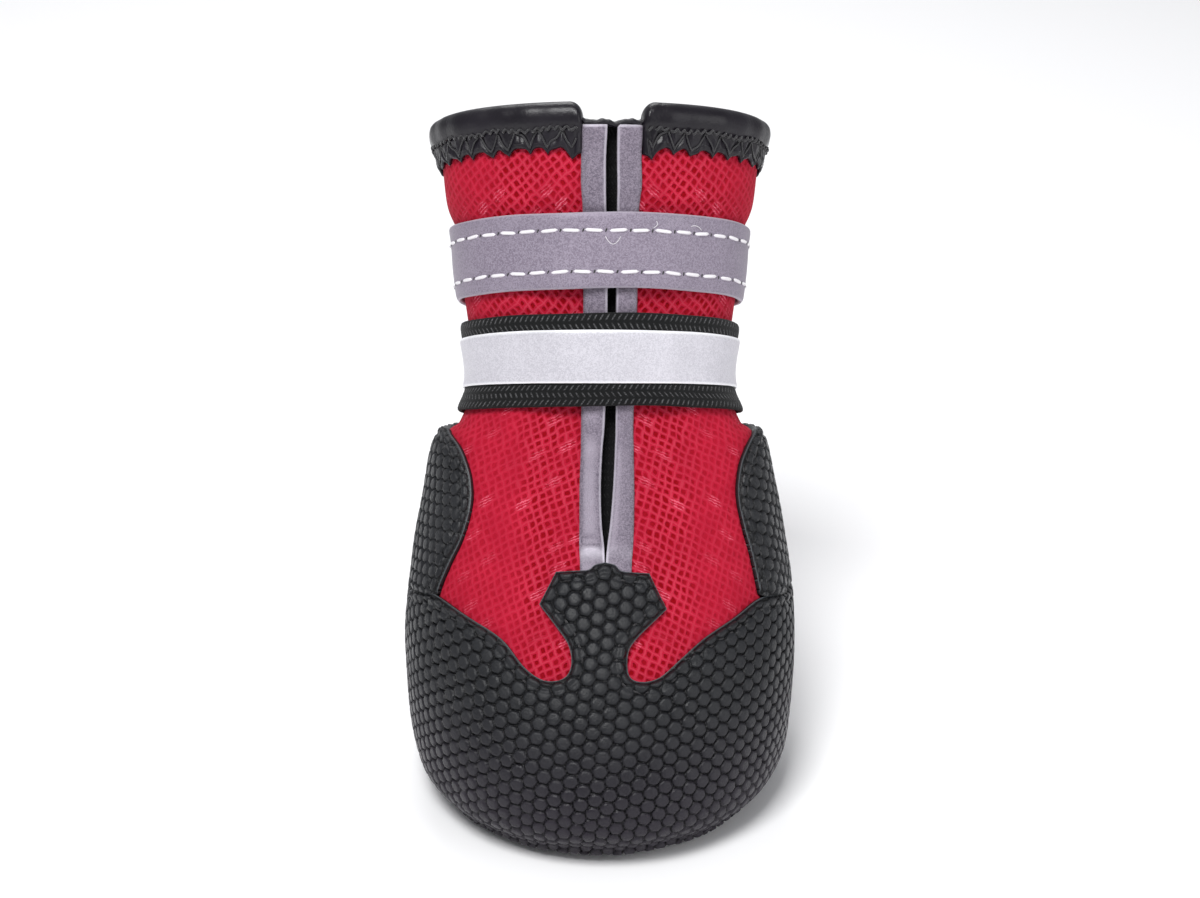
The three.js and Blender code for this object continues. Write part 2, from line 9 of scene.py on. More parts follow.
# %% Load the frame
import bmesh
import bpy
import numpy as np
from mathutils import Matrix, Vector


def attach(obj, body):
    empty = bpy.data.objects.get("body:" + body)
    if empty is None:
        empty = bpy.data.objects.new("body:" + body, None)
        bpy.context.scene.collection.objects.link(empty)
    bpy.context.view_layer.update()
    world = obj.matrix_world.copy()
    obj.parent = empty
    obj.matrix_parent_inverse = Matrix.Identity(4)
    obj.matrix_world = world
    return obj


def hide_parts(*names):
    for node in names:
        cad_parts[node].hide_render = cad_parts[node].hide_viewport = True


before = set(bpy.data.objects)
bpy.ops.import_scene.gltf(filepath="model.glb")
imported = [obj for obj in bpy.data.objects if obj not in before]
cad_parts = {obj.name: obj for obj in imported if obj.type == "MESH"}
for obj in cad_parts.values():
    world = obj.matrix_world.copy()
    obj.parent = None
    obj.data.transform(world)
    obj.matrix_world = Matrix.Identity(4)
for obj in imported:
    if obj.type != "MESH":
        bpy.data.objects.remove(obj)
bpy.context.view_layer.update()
MM = 0.001
print("frame loaded:", len(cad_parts), "nodes")

# %% [markdown]
# ## The last
# A shoe is built over a last. This one is a stack of fourteen rings, seven round the foot and seven
# round the shaft, with a smooth spline through them. A ring is drawn by its front and back, its half
# width, the place where it is widest and two powers that say how square its ends are. A point of the
# last has a ring number t and an angle a, so every piece of the boot can be a function of t and a.
# Sculpting or lofting would give the same body, but no such numbers to place a strap or a stitch by.

# %% Sizes in millimetres
FOOT_LENGTH = 88.4
FOOT_WIDTH = 76.2
FOOT_HEIGHT = 69.6
WALL = 1.8
GAP = 0.35
SHAFT_LENGTH = 58.4
SHAFT_DEPTH = 47.0
SHAFT_WIDTH = 66.8
SHAFT_LEAN = np.radians(20)
SHAFT_TILT = np.radians(27.5)
SHAFT_FOOT = np.array([10.2, FOOT_HEIGHT + 6.3])
SOLE_HEIGHT = 3.6

# %% The rings of the last
# Columns: front y, front z, back y, back z, half width, widest place, nose power, heel power, spring
FOOT_RINGS = np.array([
    [-0.374, 0.0, 0.555, 0.0, 0.435, 0.47, 1.98, 2.3, 1.0],
    [-0.407, 0.075, 0.582, 0.088, 0.476, 0.47, 2.08, 2.3, 0.7],
    [-0.392, 0.235, 0.593, 0.235, 0.493, 0.48, 2.1, 2.3, 0.3],
    [-0.304, 0.44, 0.588, 0.382, 0.5, 0.5, 2.15, 2.3, 0.0],
    [-0.171, 0.65, 0.569, 0.522, 0.484, 0.52, 2.1, 2.3, 0.0],
    [-0.028, 0.852, 0.538, 0.68, 0.454, 0.52, 2.15, 2.3, 0.0],
    [0.072, 1.0, 0.52, 0.82, 0.424, 0.5, 2.2, 2.3, 0.0],
])
# Columns: height, depth, half width and drift of the shaft's rings
SHAFT_RINGS = np.array([
    [0.0254, 0.787, 0.421, 0.006],
    [0.1525, 0.777, 0.383, 0.011],
    [0.3475, 0.84, 0.405, 0.0],
    [0.5254, 0.883, 0.427, 0.004],
    [0.666, 0.91, 0.438, 0.003],
    [0.776, 0.962, 0.472, -0.008],
    [1.0, 0.99, 0.489, -0.011],
])


def all_rings():
    """The rings in millimetres. The foot's are shares of its sizes. A shaft ring's front stands
    height up the leaning shaft and drift across it, and its back depth further across."""
    foot = FOOT_RINGS.copy()
    foot[:, [0, 2]] *= FOOT_LENGTH
    foot[:, [1, 3]] = SOLE_HEIGHT + foot[:, [1, 3]] * (FOOT_HEIGHT - SOLE_HEIGHT)
    foot[:, 4] *= FOOT_WIDTH
    up = np.array([np.sin(SHAFT_LEAN), np.cos(SHAFT_LEAN)])
    across = np.array([np.cos(SHAFT_TILT), -np.sin(SHAFT_TILT)])
    height, depth, half, drift = SHAFT_RINGS.T[:, :, None]
    front = SHAFT_FOOT + height * SHAFT_LENGTH * up + drift * SHAFT_DEPTH * across
    back = front + depth * SHAFT_DEPTH * across
    rest = np.tile([0.5, 2.1, 2.3, 0.0], (len(height), 1))
    return np.vstack([foot, np.hstack([front, back, half * SHAFT_WIDTH, rest])])


RINGS = all_rings()
RIM = len(RINGS) - 1
print("last:", len(RINGS), "rings, rim at z", round(RINGS[RIM, 1], 1))


# %% A point on the last
def smooth(x):
    """0 below 0, 1 above 1, and 3 x^2 - 2 x^3 between."""
    x = np.clip(x, 0.0, 1.0)
    return x * x * (3 - 2 * x)


def sole_lift(y):
    """How far the sole curves up: squares of the way past the toe and heel breaks, and an arch."""
    toe = np.maximum(0, (-12 - y) / 22)
    heel = np.maximum(0, (y - 41.6) / 8)
    arch = np.maximum(0, 1 - np.abs(y - 16.5) / 10)
    return 1.4 * toe ** 2 + 0.5 * heel ** 2 + 0.8 * arch ** 2 * (3 - 2 * arch)


def ring_at(t):
    """All values of the ring at number t: a Catmull-Rom spline through each column of RINGS."""
    t = np.asarray(t, dtype=float)
    padded = np.vstack([2 * RINGS[0] - RINGS[1], RINGS, 2 * RINGS[-1] - RINGS[-2]])
    i = np.clip(np.floor(t).astype(int), 0, len(RINGS) - 2)
    f = (t - i)[..., None]
    before, here, after, later = padded[i], padded[i + 1], padded[i + 2], padded[i + 3]
    square = 2 * before - 5 * here + 4 * after - later
    cube = 3 * here - before - 3 * after + later
    return here + 0.5 * ((after - before) * f + square * f ** 2 + cube * f ** 3)


def last_point(t, a):
    """A point of the last: cosine and sine of a, raised to 2 over the ring's power, give the share
    of the way to its front or back and of its half width. Angle 0 is the toe, 90 degrees +X."""
    ring = ring_at(t)
    c = np.cos(a)
    s = np.sin(a)
    power = 2 / np.where(c >= 0, ring[..., 6], ring[..., 7])
    reach = np.abs(c) ** power
    widest = ring[..., 5]
    along = np.where(c >= 0, widest * (1 - reach), widest + (1 - widest) * reach)
    y = ring[..., 0] + (ring[..., 2] - ring[..., 0]) * along
    z = ring[..., 1] + (ring[..., 3] - ring[..., 1]) * along
    x = ring[..., 4] * np.sign(s) * np.abs(s) ** power
    return np.stack([x, y, z + ring[..., 8] * sole_lift(y)], axis=-1)


def unit(vectors):
    """Vectors scaled to length 1."""
    return vectors / np.maximum(np.linalg.norm(vectors, axis=-1, keepdims=True), 1e-12)


def distance_along(line):
    """How far each point of a line is from its first one, measured along the line."""
    return np.pad(np.cumsum(np.linalg.norm(np.diff(line, axis=0), axis=1)), (1, 0))


def last_normal(t, a):
    """Outward normal: the cross product of the small steps along a and along t."""
    step = 1e-3
    along = last_point(t, a + step) - last_point(t, a - step)
    up = last_point(t + step, a) - last_point(t - step, a)
    return unit(np.cross(along, up))


def over_last(t, a, offset):
    """The point at a height over the last, along its normal."""
    t, a, offset = np.broadcast_arrays(np.asarray(t, float), a, offset)
    return last_point(t, a) + last_normal(t, a) * offset[..., None]


def ring_at_height(height):
    """Ring number at a height along the shaft, straight between the shaft's rings."""
    heights = SHAFT_RINGS[:, 0]
    share = np.asarray(height, dtype=float) / SHAFT_LENGTH
    i = np.searchsorted(heights[1:-1], share)
    return len(FOOT_RINGS) + i + (share - heights[i]) / (heights[i + 1] - heights[i])


def angle_at_x(t, x):
    """Angle at which ring t passes x on its front half."""
    ring = ring_at(t)
    share = np.clip(np.abs(x) / ring[..., 4], 0, 1)
    return np.sign(x) * np.arcsin(share ** (ring[..., 6] / 2))


print("toe at the sole:", last_point(0.0, 0.0).round(1), "heel:", last_point(0.0, np.pi).round(1))

# %% [markdown]
# ## From a grid to a mesh
# A grid of points has as many rows and columns as it needs, and its quads follow from the numbers of
# its points. A sheet with a thickness is two grids joined along their edges. The faces and their
# texture coordinates go into Blender as whole arrays, which is quick even for a hundred thousand. A
# Solidify modifier could thicken a sheet too, but with an inner grid of its own an edge can be
# rounded and a hem rolled.

# %% Grid helpers
def grid_faces(rows, columns, closed=False):
    """Corner numbers of the quads of a grid, which runs round in its columns when closed."""
    j = np.arange(rows - 1)[:, None]
    i = np.arange(columns if closed else columns - 1)[None, :]
    k = (i + 1) % columns
    a = j * columns + i
    b = j * columns + k
    return np.stack([a, b, b + columns, a + columns], axis=-1).reshape(-1, 4)


def volume_of(points, faces):
    """Volume inside a closed mesh, below 0 when its faces point inwards."""
    a, b, c, d = (points[faces[:, k]] for k in range(4))
    return np.einsum("ij,ij->i", a, np.cross(b, c) + np.cross(c, d)).sum() / 6


def slab(outer, inner):
    """A closed sheet between two grids: the outer faces, the inner ones turned, and four edges."""
    rows, columns = outer.shape[:2]
    points = np.concatenate([outer.reshape(-1, 3), inner.reshape(-1, 3)])
    face = grid_faces(rows, columns)
    number = np.arange(rows * columns).reshape(rows, columns)
    rim = np.concatenate([number[0, :-1], number[:-1, -1], number[-1, :0:-1], number[:0:-1, 0]])
    after = np.roll(rim, -1)
    far = rows * columns
    edge = np.stack([after, rim, rim + far, after + far], axis=-1)
    faces = np.concatenate([face, face[:, ::-1] + far, edge])
    if volume_of(points, faces) < 0:
        faces = faces[:, ::-1]
    return points, faces


def tube(rings):
    """A closed tube through rings of points. Its two ends are drawn in to their middles."""
    first = np.repeat(rings[:1].mean(axis=1, keepdims=True), rings.shape[1], axis=1)
    last = np.repeat(rings[-1:].mean(axis=1, keepdims=True), rings.shape[1], axis=1)
    stack = np.concatenate([first, rings, last])
    points = stack.reshape(-1, 3)
    faces = grid_faces(len(stack), rings.shape[1], closed=True)
    if volume_of(points, faces) < 0:
        faces = faces[:, ::-1]
    return points, faces


def joined(parts):
    """Many meshes as one: each one's corner numbers are raised by the points before it."""
    starts = np.cumsum([0] + [len(points) for points, _ in parts[:-1]])
    points = np.concatenate([points for points, _ in parts])
    return points, np.concatenate([faces + start for (_, faces), start in zip(parts, starts)])


# %% Make a piece
def make_piece(name, points, faces, material, uv=None, values=None, merge=None):
    """A mesh object from millimetre points and quads. uv is in millimetres, one per point.
    values are named numbers, one per point. merge is a distance within which points are joined."""
    mesh = bpy.data.meshes.new(name)
    mesh.vertices.add(len(points))
    mesh.vertices.foreach_set("co", (points * MM).astype(np.float32).ravel())
    mesh.loops.add(faces.size)
    mesh.loops.foreach_set("vertex_index", faces.astype(np.int32).ravel())
    mesh.polygons.add(len(faces))
    mesh.polygons.foreach_set("loop_start", np.arange(len(faces), dtype=np.int32) * 4)
    mesh.update(calc_edges=True)
    if uv is not None:
        layer = mesh.uv_layers.new(name="UVMap")
        layer.data.foreach_set("uv", uv[faces.ravel()].astype(np.float32).ravel())
    for key, value in (values or {}).items():
        layer = mesh.attributes.new(key, "FLOAT", "POINT")
        layer.data.foreach_set("value", np.asarray(value, dtype=np.float32).ravel())
    if merge:
        work = bmesh.new()
        work.from_mesh(mesh)
        bmesh.ops.remove_doubles(work, verts=work.verts, dist=merge * MM)
        bmesh.ops.dissolve_degenerate(work, edges=work.edges, dist=1e-7)
        work.to_mesh(mesh)
        work.free()
    mesh.validate()
    mesh.polygons.foreach_set("use_smooth", np.ones(len(mesh.polygons), dtype=bool))
    mesh.materials.append(material)
    piece = bpy.data.objects.new(name, mesh)
    bpy.context.scene.collection.objects.link(piece)
    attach(piece, "root")
    print(name, len(mesh.polygons), "faces")
    return piece


# %% [markdown]
# ## The camera
# The photo looks at the front of the boot from a little above, from about half a metre away. The
# camera stands at that angle and aims at the middle of the boot. A longer lens from further off would
# frame it as well, but the toe would look smaller against the collar than it does in the photo.

# %% Place the camera
def place_camera():
    """Camera 480 mm from the boot's middle, 24 degrees above it, straight in front."""
    middle = np.array([0.0, 18.0, 65.0]) * MM
    rise = np.radians(24)
    data = bpy.data.cameras.new("camera")
    data.lens = 71
    data.clip_start = 0.01
    camera = bpy.data.objects.new("camera", data)
    away = np.array([0.0, -np.cos(rise), np.sin(rise)])
    camera.location = middle + 0.48 * away
    camera.rotation_euler = Vector(-away).to_track_quat("-Z", "Y").to_euler()
    bpy.context.scene.collection.objects.link(camera)
    bpy.context.scene.camera = camera


place_camera()
print("camera placed")

# %% [markdown]
# ## Node helpers
# A material is a small network of nodes. Two helpers keep it readable: one makes a node and plugs in
# its inputs, one does a sum. Effects that several finishes share, such as grain, weave and the
# sparkle of reflective cloth, are node groups, which are built once. A painted picture could hold
# such a pattern too, but it blurs close up, and a pattern made by nodes is tuned by a number.

# %% Node helpers
def add_node(tree, kind, inputs=None, **settings):
    """A node with its settings, and each input either linked to a socket or set to a value."""
    made = tree.nodes.new(kind)
    for key, value in settings.items():
        setattr(made, key, value)
    for key, value in (inputs or {}).items():
        if isinstance(value, bpy.types.NodeSocket):
            tree.links.new(value, made.inputs[key])
        else:
            made.inputs[key].default_value = value
    return made


def calc(tree, operation, *values):
    """The output of one Math node."""
    return add_node(tree, "ShaderNodeMath", dict(enumerate(values)), operation=operation).outputs[0]


def ramp(tree, value, low, high, start=0.0, end=1.0):
    """A value mapped smoothly from low..high to start..end."""
    inputs = {0: value, 1: low, 2: high, 3: start, 4: end}
    made = add_node(tree, "ShaderNodeMapRange", inputs, interpolation_type="SMOOTHSTEP")
    return made.outputs[0]


def mixed(tree, factor, first, second):
    """A colour between two others."""
    inputs = {0: factor, 6: first, 7: second}
    return add_node(tree, "ShaderNodeMix", inputs, data_type="RGBA").outputs[2]


def rgb(red, green, blue):
    """A colour from display values of 0 to 255, made linear."""
    share = np.array([red, green, blue]) / 255
    linear = np.where(share <= 0.04045, share / 12.92, ((share + 0.055) / 1.055) ** 2.4)
    return (*[float(value) for value in linear], 1.0)


def new_group(name, inputs, outputs):
    """An empty node group with named inputs and outputs, and its two end nodes."""
    group = bpy.data.node_groups.new(name, "ShaderNodeTree")
    for label, kind, value in inputs:
        socket = group.interface.new_socket(name=label, in_out="INPUT", socket_type=kind)
        if value is not None:
            socket.default_value = value
    for label, kind in outputs:
        group.interface.new_socket(name=label, in_out="OUTPUT", socket_type=kind)
    return group, group.nodes.new("NodeGroupInput"), group.nodes.new("NodeGroupOutput")


NUMBER = "NodeSocketFloat"
VECTOR = "NodeSocketVector"
HOLE_PITCH = 1.55
HOLE_HALF = 0.27


# %% Groups that several finishes share
def make_grain_group():
    """Fine grain: two noises, one coarse and one fine, on the given coordinates."""
    inputs = [("Vector", VECTOR, None), ("Scale", NUMBER, 1.0), ("Coarseness", NUMBER, 0.4)]
    group, start, end = new_group("grain", inputs, [("Height", NUMBER), ("Patches", NUMBER)])
    fine = add_node(group, "ShaderNodeTexNoise", {
        "Vector": start.outputs["Vector"], "Scale": start.outputs["Scale"], "Detail": 3.0,
        "Roughness": 0.65,
    })
    wide_scale = calc(group, "MULTIPLY", start.outputs["Scale"], 0.06)
    wide = add_node(group, "ShaderNodeTexNoise", {
        "Vector": start.outputs["Vector"], "Scale": wide_scale, "Detail": 2.0,
    })
    wide_part = calc(group, "MULTIPLY", wide.outputs[0], start.outputs["Coarseness"])
    height = calc(group, "ADD", fine.outputs[0], wide_part)
    group.links.new(height, end.inputs["Height"])
    group.links.new(wide.outputs[0], end.inputs["Patches"])
    return group


def make_mesh_group():
    """Open mesh: turned rows of small holes, each row a little along from the one below, with a thin
    pale thread between the cells. Every hole has its own size and depth, and the input Open says how
    far it shows. On a wider lattice stand little patches of shining slanted threads."""
    inputs = [("Vector", VECTOR, None), ("Open", NUMBER, 1.0), ("Pitch", NUMBER, 1.0)]
    outputs = [("Holes", NUMBER), ("Threads", NUMBER), ("Height", NUMBER)]
    group, start, end = new_group("open_mesh", inputs, outputs)
    turned = add_node(group, "ShaderNodeVectorRotate", {
        "Vector": start.outputs["Vector"], "Angle": 0.84,
    }, rotation_type="Z_AXIS")
    wobble = add_node(group, "ShaderNodeTexNoise", {
        "Vector": turned.outputs[0], "Scale": 0.3, "Detail": 3.0,
    })
    wobbled = add_node(group, "ShaderNodeVectorMath", {
        0: wobble.outputs["Color"], 1: (1.5, 1.5, 0.0), 2: turned.outputs[0],
    }, operation="MULTIPLY_ADD")
    part = add_node(group, "ShaderNodeSeparateXYZ", {0: wobbled.outputs[0]})
    y = calc(group, "DIVIDE", part.outputs[1], start.outputs["Pitch"])
    row = calc(group, "FLOOR", y)
    shear = calc(group, "MULTIPLY", row, 0.1)
    x = calc(group, "ADD", calc(group, "DIVIDE", part.outputs[0], start.outputs["Pitch"]), shear)
    across = calc(group, "SUBTRACT", calc(group, "FRACT", x), 0.5)
    up = calc(group, "SUBTRACT", calc(group, "FRACT", y), 0.5)
    cell = add_node(group, "ShaderNodeCombineXYZ", {0: calc(group, "FLOOR", x), 1: row})
    chance = add_node(group, "ShaderNodeTexWhiteNoise", {"Vector": cell.outputs[0]})
    chances = add_node(group, "ShaderNodeSeparateXYZ", {0: chance.outputs["Color"]})
    across = calc(group, "MULTIPLY_ADD", chances.outputs[0], 0.16, calc(group, "ADD", across, -0.08))
    leaning = calc(group, "MULTIPLY_ADD", up, 0.2, across)
    wide = calc(group, "DIVIDE", calc(group, "ABSOLUTE", leaning), HOLE_HALF)
    tall = calc(group, "DIVIDE", calc(group, "ABSOLUTE", up), HOLE_HALF)
    reach = calc(group, "ADD", calc(group, "POWER", wide, 4.0), calc(group, "POWER", tall, 4.0))
    size = calc(group, "MULTIPLY_ADD", chances.outputs[1], 1.1, 0.4)
    hole = ramp(group, calc(group, "DIVIDE", reach, size), 0.15, 1.7, 1.0, 0.0)
    deep = calc(group, "MULTIPLY_ADD", chances.outputs[2], 0.35, 0.8)
    drift = add_node(group, "ShaderNodeTexNoise", {"Vector": start.outputs["Vector"], "Scale": 0.13})
    gate = ramp(group, drift.outputs[0], 0.34, 0.5, 0.7, 1.0)
    shown = calc(group, "MULTIPLY", calc(group, "MULTIPLY", deep, gate), start.outputs["Open"])
    hole = calc(group, "MULTIPLY", hole, shown)
    step = add_node(group, "ShaderNodeVectorRotate", {
        "Vector": start.outputs["Vector"], "Angle": 1.0,
    }, rotation_type="Z_AXIS")
    spots = add_node(group, "ShaderNodeTexVoronoi", {
        "Vector": step.outputs[0], "Scale": 0.16, "Randomness": 0.7,
    }, voronoi_dimensions="2D")
    way = add_node(group, "ShaderNodeVectorMath", {
        0: step.outputs[0], 1: spots.outputs["Position"],
    }, operation="SUBTRACT")
    off = add_node(group, "ShaderNodeSeparateXYZ", {0: way.outputs[0]})
    off_x = calc(group, "MULTIPLY", off.outputs[0], 0.45)
    off_y = calc(group, "MULTIPLY", off.outputs[1], 0.95)
    spot = calc(group, "ADD", calc(group, "MULTIPLY", off_x, off_x), calc(group, "MULTIPLY", off_y, off_y))
    spot = ramp(group, spot, 0.2, 1.2, 1.0, 0.0)
    picked = add_node(group, "ShaderNodeSeparateXYZ", {0: spots.outputs["Color"]})
    spot = calc(group, "MULTIPLY", spot, ramp(group, picked.outputs[0], 0.3, 0.95, 0.0, 0.65))
    hatch = add_node(group, "ShaderNodeTexWave", {
        "Vector": start.outputs["Vector"], "Scale": 0.8, "Distortion": 4.5, "Detail Scale": 2.0,
    }, bands_direction="DIAGONAL")
    thread = calc(group, "MULTIPLY", ramp(group, hatch.outputs["Fac"], 0.55, 0.95), spot)
    thread = calc(group, "MULTIPLY", thread, ramp(group, chance.outputs[0], 0.0, 1.0, 0.35, 1.0))
    wall = calc(group, "MAXIMUM", calc(group, "ABSOLUTE", leaning), calc(group, "ABSOLUTE", up))
    wall = calc(group, "MULTIPLY", ramp(group, wall, 0.38, 0.46), calc(group, "MULTIPLY", shown, 0.1))
    thread = calc(group, "MAXIMUM", thread, wall)
    cover = calc(group, "MULTIPLY_ADD", spot, -0.8, 1.0)
    hole = calc(group, "MULTIPLY", hole, cover)
    lift = calc(group, "SUBTRACT", calc(group, "MULTIPLY", thread, 0.3), hole)
    group.links.new(hole, end.inputs["Holes"])
    group.links.new(thread, end.inputs["Threads"])
    group.links.new(lift, end.inputs["Height"])
    return group


def make_weave_group():
    """Ribbed webbing: rows of slanted dashes, whose slant turns over from row to row."""
    inputs = [("Vector", VECTOR, None), ("Row", NUMBER, 2.2), ("Dash", NUMBER, 1.3)]
    group, start, end = new_group("webbing", inputs, [("Height", NUMBER), ("Shade", NUMBER)])
    part = add_node(group, "ShaderNodeSeparateXYZ", {0: start.outputs["Vector"]})
    y = calc(group, "DIVIDE", part.outputs[1], start.outputs["Row"])
    row = calc(group, "FLOOR", y)
    turn = calc(group, "MULTIPLY_ADD", calc(group, "FLOORED_MODULO", row, 2.0), 2.0, -1.0)
    inside = calc(group, "SUBTRACT", calc(group, "FRACT", y), 0.5)
    x = calc(group, "DIVIDE", part.outputs[0], start.outputs["Dash"])
    slanted = calc(group, "MULTIPLY_ADD", calc(group, "MULTIPLY", inside, turn), 0.85, x)
    wave = calc(group, "SINE", calc(group, "MULTIPLY", slanted, 2 * np.pi))
    dash = ramp(group, wave, 0.3, 1.0)
    belly = ramp(group, calc(group, "ABSOLUTE", inside), 0.14, 0.42, 1.0, 0.0)
    fibres = add_node(group, "ShaderNodeTexNoise", {"Vector": start.outputs["Vector"], "Scale": 3.0})
    height = calc(group, "MULTIPLY", calc(group, "MULTIPLY", dash, belly),
                  ramp(group, fibres.outputs[0], 0.35, 0.65, 0.15, 1.0))
    fuzzy = calc(group, "MULTIPLY_ADD", fibres.outputs[0], 0.5, height)
    group.links.new(fuzzy, end.inputs["Height"])
    group.links.new(height, end.inputs["Shade"])
    return group


def make_speckle_group():
    """Reflective cloth: a very fine grid of beads, each a little lighter or darker."""
    inputs = [("Vector", VECTOR, None), ("Scale", NUMBER, 3.0)]
    group, start, end = new_group("speckle", inputs, [("Speckle", NUMBER), ("Cloud", NUMBER)])
    beads = add_node(group, "ShaderNodeTexVoronoi", {
        "Vector": start.outputs["Vector"], "Scale": start.outputs["Scale"],
    })
    dots = add_node(group, "ShaderNodeSeparateXYZ", {0: beads.outputs["Color"]})
    cloud = add_node(group, "ShaderNodeTexNoise", {
        "Vector": start.outputs["Vector"], "Scale": 0.12, "Detail": 3.0,
    })
    group.links.new(dots.outputs[0], end.inputs["Speckle"])
    group.links.new(cloud.outputs[0], end.inputs["Cloud"])
    return group


GRAIN = make_grain_group()
OPEN_MESH = make_mesh_group()
WEBBING = make_weave_group()
SPECKLE = make_speckle_group()
print("node groups:", [group.name for group in bpy.data.node_groups])


# %% Start of a material
def new_material(name, **sockets):
    """A material with a Principled shader, whose plain values are set on its own sockets."""
    material = bpy.data.materials.new(name)
    material.use_nodes = True
    tree = material.node_tree
    shader = tree.nodes["Principled BSDF"]
    for key, value in sockets.items():
        shader.inputs[key.replace("_", " ")].default_value = value
    return material, tree, shader


def use_group(tree, group, vector, **values):
    """A group placed in a material with its own values."""
    made = add_node(tree, "ShaderNodeGroup", node_tree=group)
    tree.links.new(vector, made.inputs["Vector"])
    for key, value in values.items():
        made.inputs[key].default_value = value
    return made


def bump(tree, shader, height, distance, strength):
    """Feed a height in millimetres through a Bump node to the shader."""
    made = add_node(tree, "ShaderNodeBump", {
        "Strength": strength, "Distance": distance * MM, "Height": height,
    })
    tree.links.new(made.outputs[0], shader.inputs["Normal"])


def uv_of(tree):
    """The piece's own texture coordinates, in millimetres over its surface."""
    return add_node(tree, "ShaderNodeUVMap").outputs[0]


def attribute_of(tree, name):
    """One of the piece's named numbers."""
    return add_node(tree, "ShaderNodeAttribute", attribute_name=name).outputs["Fac"]


def place_of(tree):
    """Object coordinates, in millimetres."""
    place = add_node(tree, "ShaderNodeTexCoord").outputs["Object"]
    inputs = {0: place, 1: (1 / MM, 1 / MM, 1 / MM)}
    return add_node(tree, "ShaderNodeVectorMath", inputs, operation="MULTIPLY").outputs[0]


# %% [markdown]
# ## Finishes
# The mesh is a matt red knit with dark holes. Cap and counter are satin black rubber that was moulded
# in a tool. The collar is bound in a coated cloth that shines. The straps are cloth with glass beads
# that throw light back, and plain black webbing. Real holes in the mesh would take millions of faces,
# and at this size colour and a Bump node show them as well. The hexagons of the rubber are large
# enough to be geometry, so the rubber's finish only adds its grain and a painted shade in the grooves.

# %% Mesh fabric
def mesh_finish():
    """Red knit: the holes are darker and sunk, the threads between lighter, and the bunched ones
    lighter with a painted sheen.
    """
    material, tree, shader = new_material(
        "mesh_fabric", Roughness=0.85, Sheen_Weight=0.02, Sheen_Roughness=0.5, Specular_IOR_Level=0.08)
    cloth = use_group(tree, OPEN_MESH, uv_of(tree), Pitch=HOLE_PITCH)
    tree.links.new(attribute_of(tree, "open"), cloth.inputs["Open"])
    cloud = use_group(tree, GRAIN, uv_of(tree), Scale=2.2)
    red = mixed(tree, cloud.outputs["Patches"], rgb(158, 18, 42), rgb(190, 31, 57))
    # Painted sheen: Threads, mostly the patches of slanted threads, mix the red towards a pale pink.
    red = mixed(tree, cloth.outputs["Threads"], red, rgb(246, 126, 150))
    deep = mixed(tree, cloth.outputs["Holes"], red, rgb(136, 0, 12))
    tree.links.new(deep, shader.inputs["Base Color"])
    knit = calc(tree, "MULTIPLY_ADD", cloud.outputs["Height"], 0.25, cloth.outputs["Height"])
    bump(tree, shader, knit, 0.3, 0.7)
    return material


# %% Moulded rubber
def rubber_finish(name, light, dark, roughness):
    """Satin rubber: grain, lighter patches, a plum tint low down, painted shade in the grooves, a grey cut
    edge.
    """
    material, tree, shader = new_material(name, Specular_IOR_Level=0.28)
    place = place_of(tree)
    grain = use_group(tree, GRAIN, place, Scale=2.4, Coarseness=0.5)
    crown = attribute_of(tree, "crown")
    base = mixed(tree, grain.outputs["Patches"], dark, light)
    height = add_node(tree, "ShaderNodeSeparateXYZ", {0: place}).outputs[2]
    plum = mixed(tree, 0.5, base, rgb(44, 35, 48))
    base = mixed(tree, ramp(tree, height, 4.0, 34.0, 1.0, 0.0), base, plum)
    # Painted shade: where crown is low, in the grooves between the hexagons and on the plain border and
    # wall, the colour goes to near black.
    pad = ramp(tree, crown, 0.03, 0.2)
    base = mixed(tree, pad, rgb(3, 3, 5), base)
    base = mixed(tree, attribute_of(tree, "cut"), base, rgb(86, 90, 94))
    tree.links.new(base, shader.inputs["Base Color"])
    rough = ramp(tree, grain.outputs["Patches"], 0.3, 0.7, roughness - 0.08, roughness + 0.1)
    tree.links.new(rough, shader.inputs["Roughness"])
    relief = calc(tree, "MULTIPLY_ADD", pad, 1.2, grain.outputs["Height"])
    bump(tree, shader, relief, 0.16, 0.8)
    return material


# %% Cloths
def reflective_finish(name, light, dark, roughness, edge):
    """Cloth with glass beads: a fine even speckle between two colours, towards another colour where the
    piece's number named edge grows. On the slit's strips that colour is a painted highlight."""
    material, tree, shader = new_material(
        name, Metallic=0.2, Specular_IOR_Level=0.45, Sheen_Weight=0.1)
    beads = use_group(tree, SPECKLE, uv_of(tree), Scale=4.5)
    fine = calc(tree, "MULTIPLY_ADD", beads.outputs["Speckle"], 0.7,
                calc(tree, "MULTIPLY", beads.outputs["Cloud"], 0.3))
    base = mixed(tree, ramp(tree, fine, 0.1, 0.9), dark, light)
    # On the slit's strips, edge marks a painted highlight along the fold, the foot and the top.
    base = mixed(tree, attribute_of(tree, "edge"), base, edge)
    tree.links.new(base, shader.inputs["Base Color"])
    rough = ramp(tree, beads.outputs["Speckle"], 0.0, 1.0, roughness - 0.1, roughness + 0.1)
    tree.links.new(rough, shader.inputs["Roughness"])
    bump(tree, shader, beads.outputs["Speckle"], 0.03, 0.5)
    return material


def webbing_finish(name, light, dark, row, dash):
    """Black webbing: dashes stand proud and catch the light."""
    material, tree, shader = new_material(name, Roughness=0.85, Sheen_Weight=0.08,
                                          Specular_IOR_Level=0.2)
    weave = use_group(tree, WEBBING, uv_of(tree), Row=row, Dash=dash)
    base = mixed(tree, weave.outputs["Shade"], dark, light)
    tree.links.new(base, shader.inputs["Base Color"])
    bump(tree, shader, weave.outputs["Height"], 0.35, 0.9)
    return material


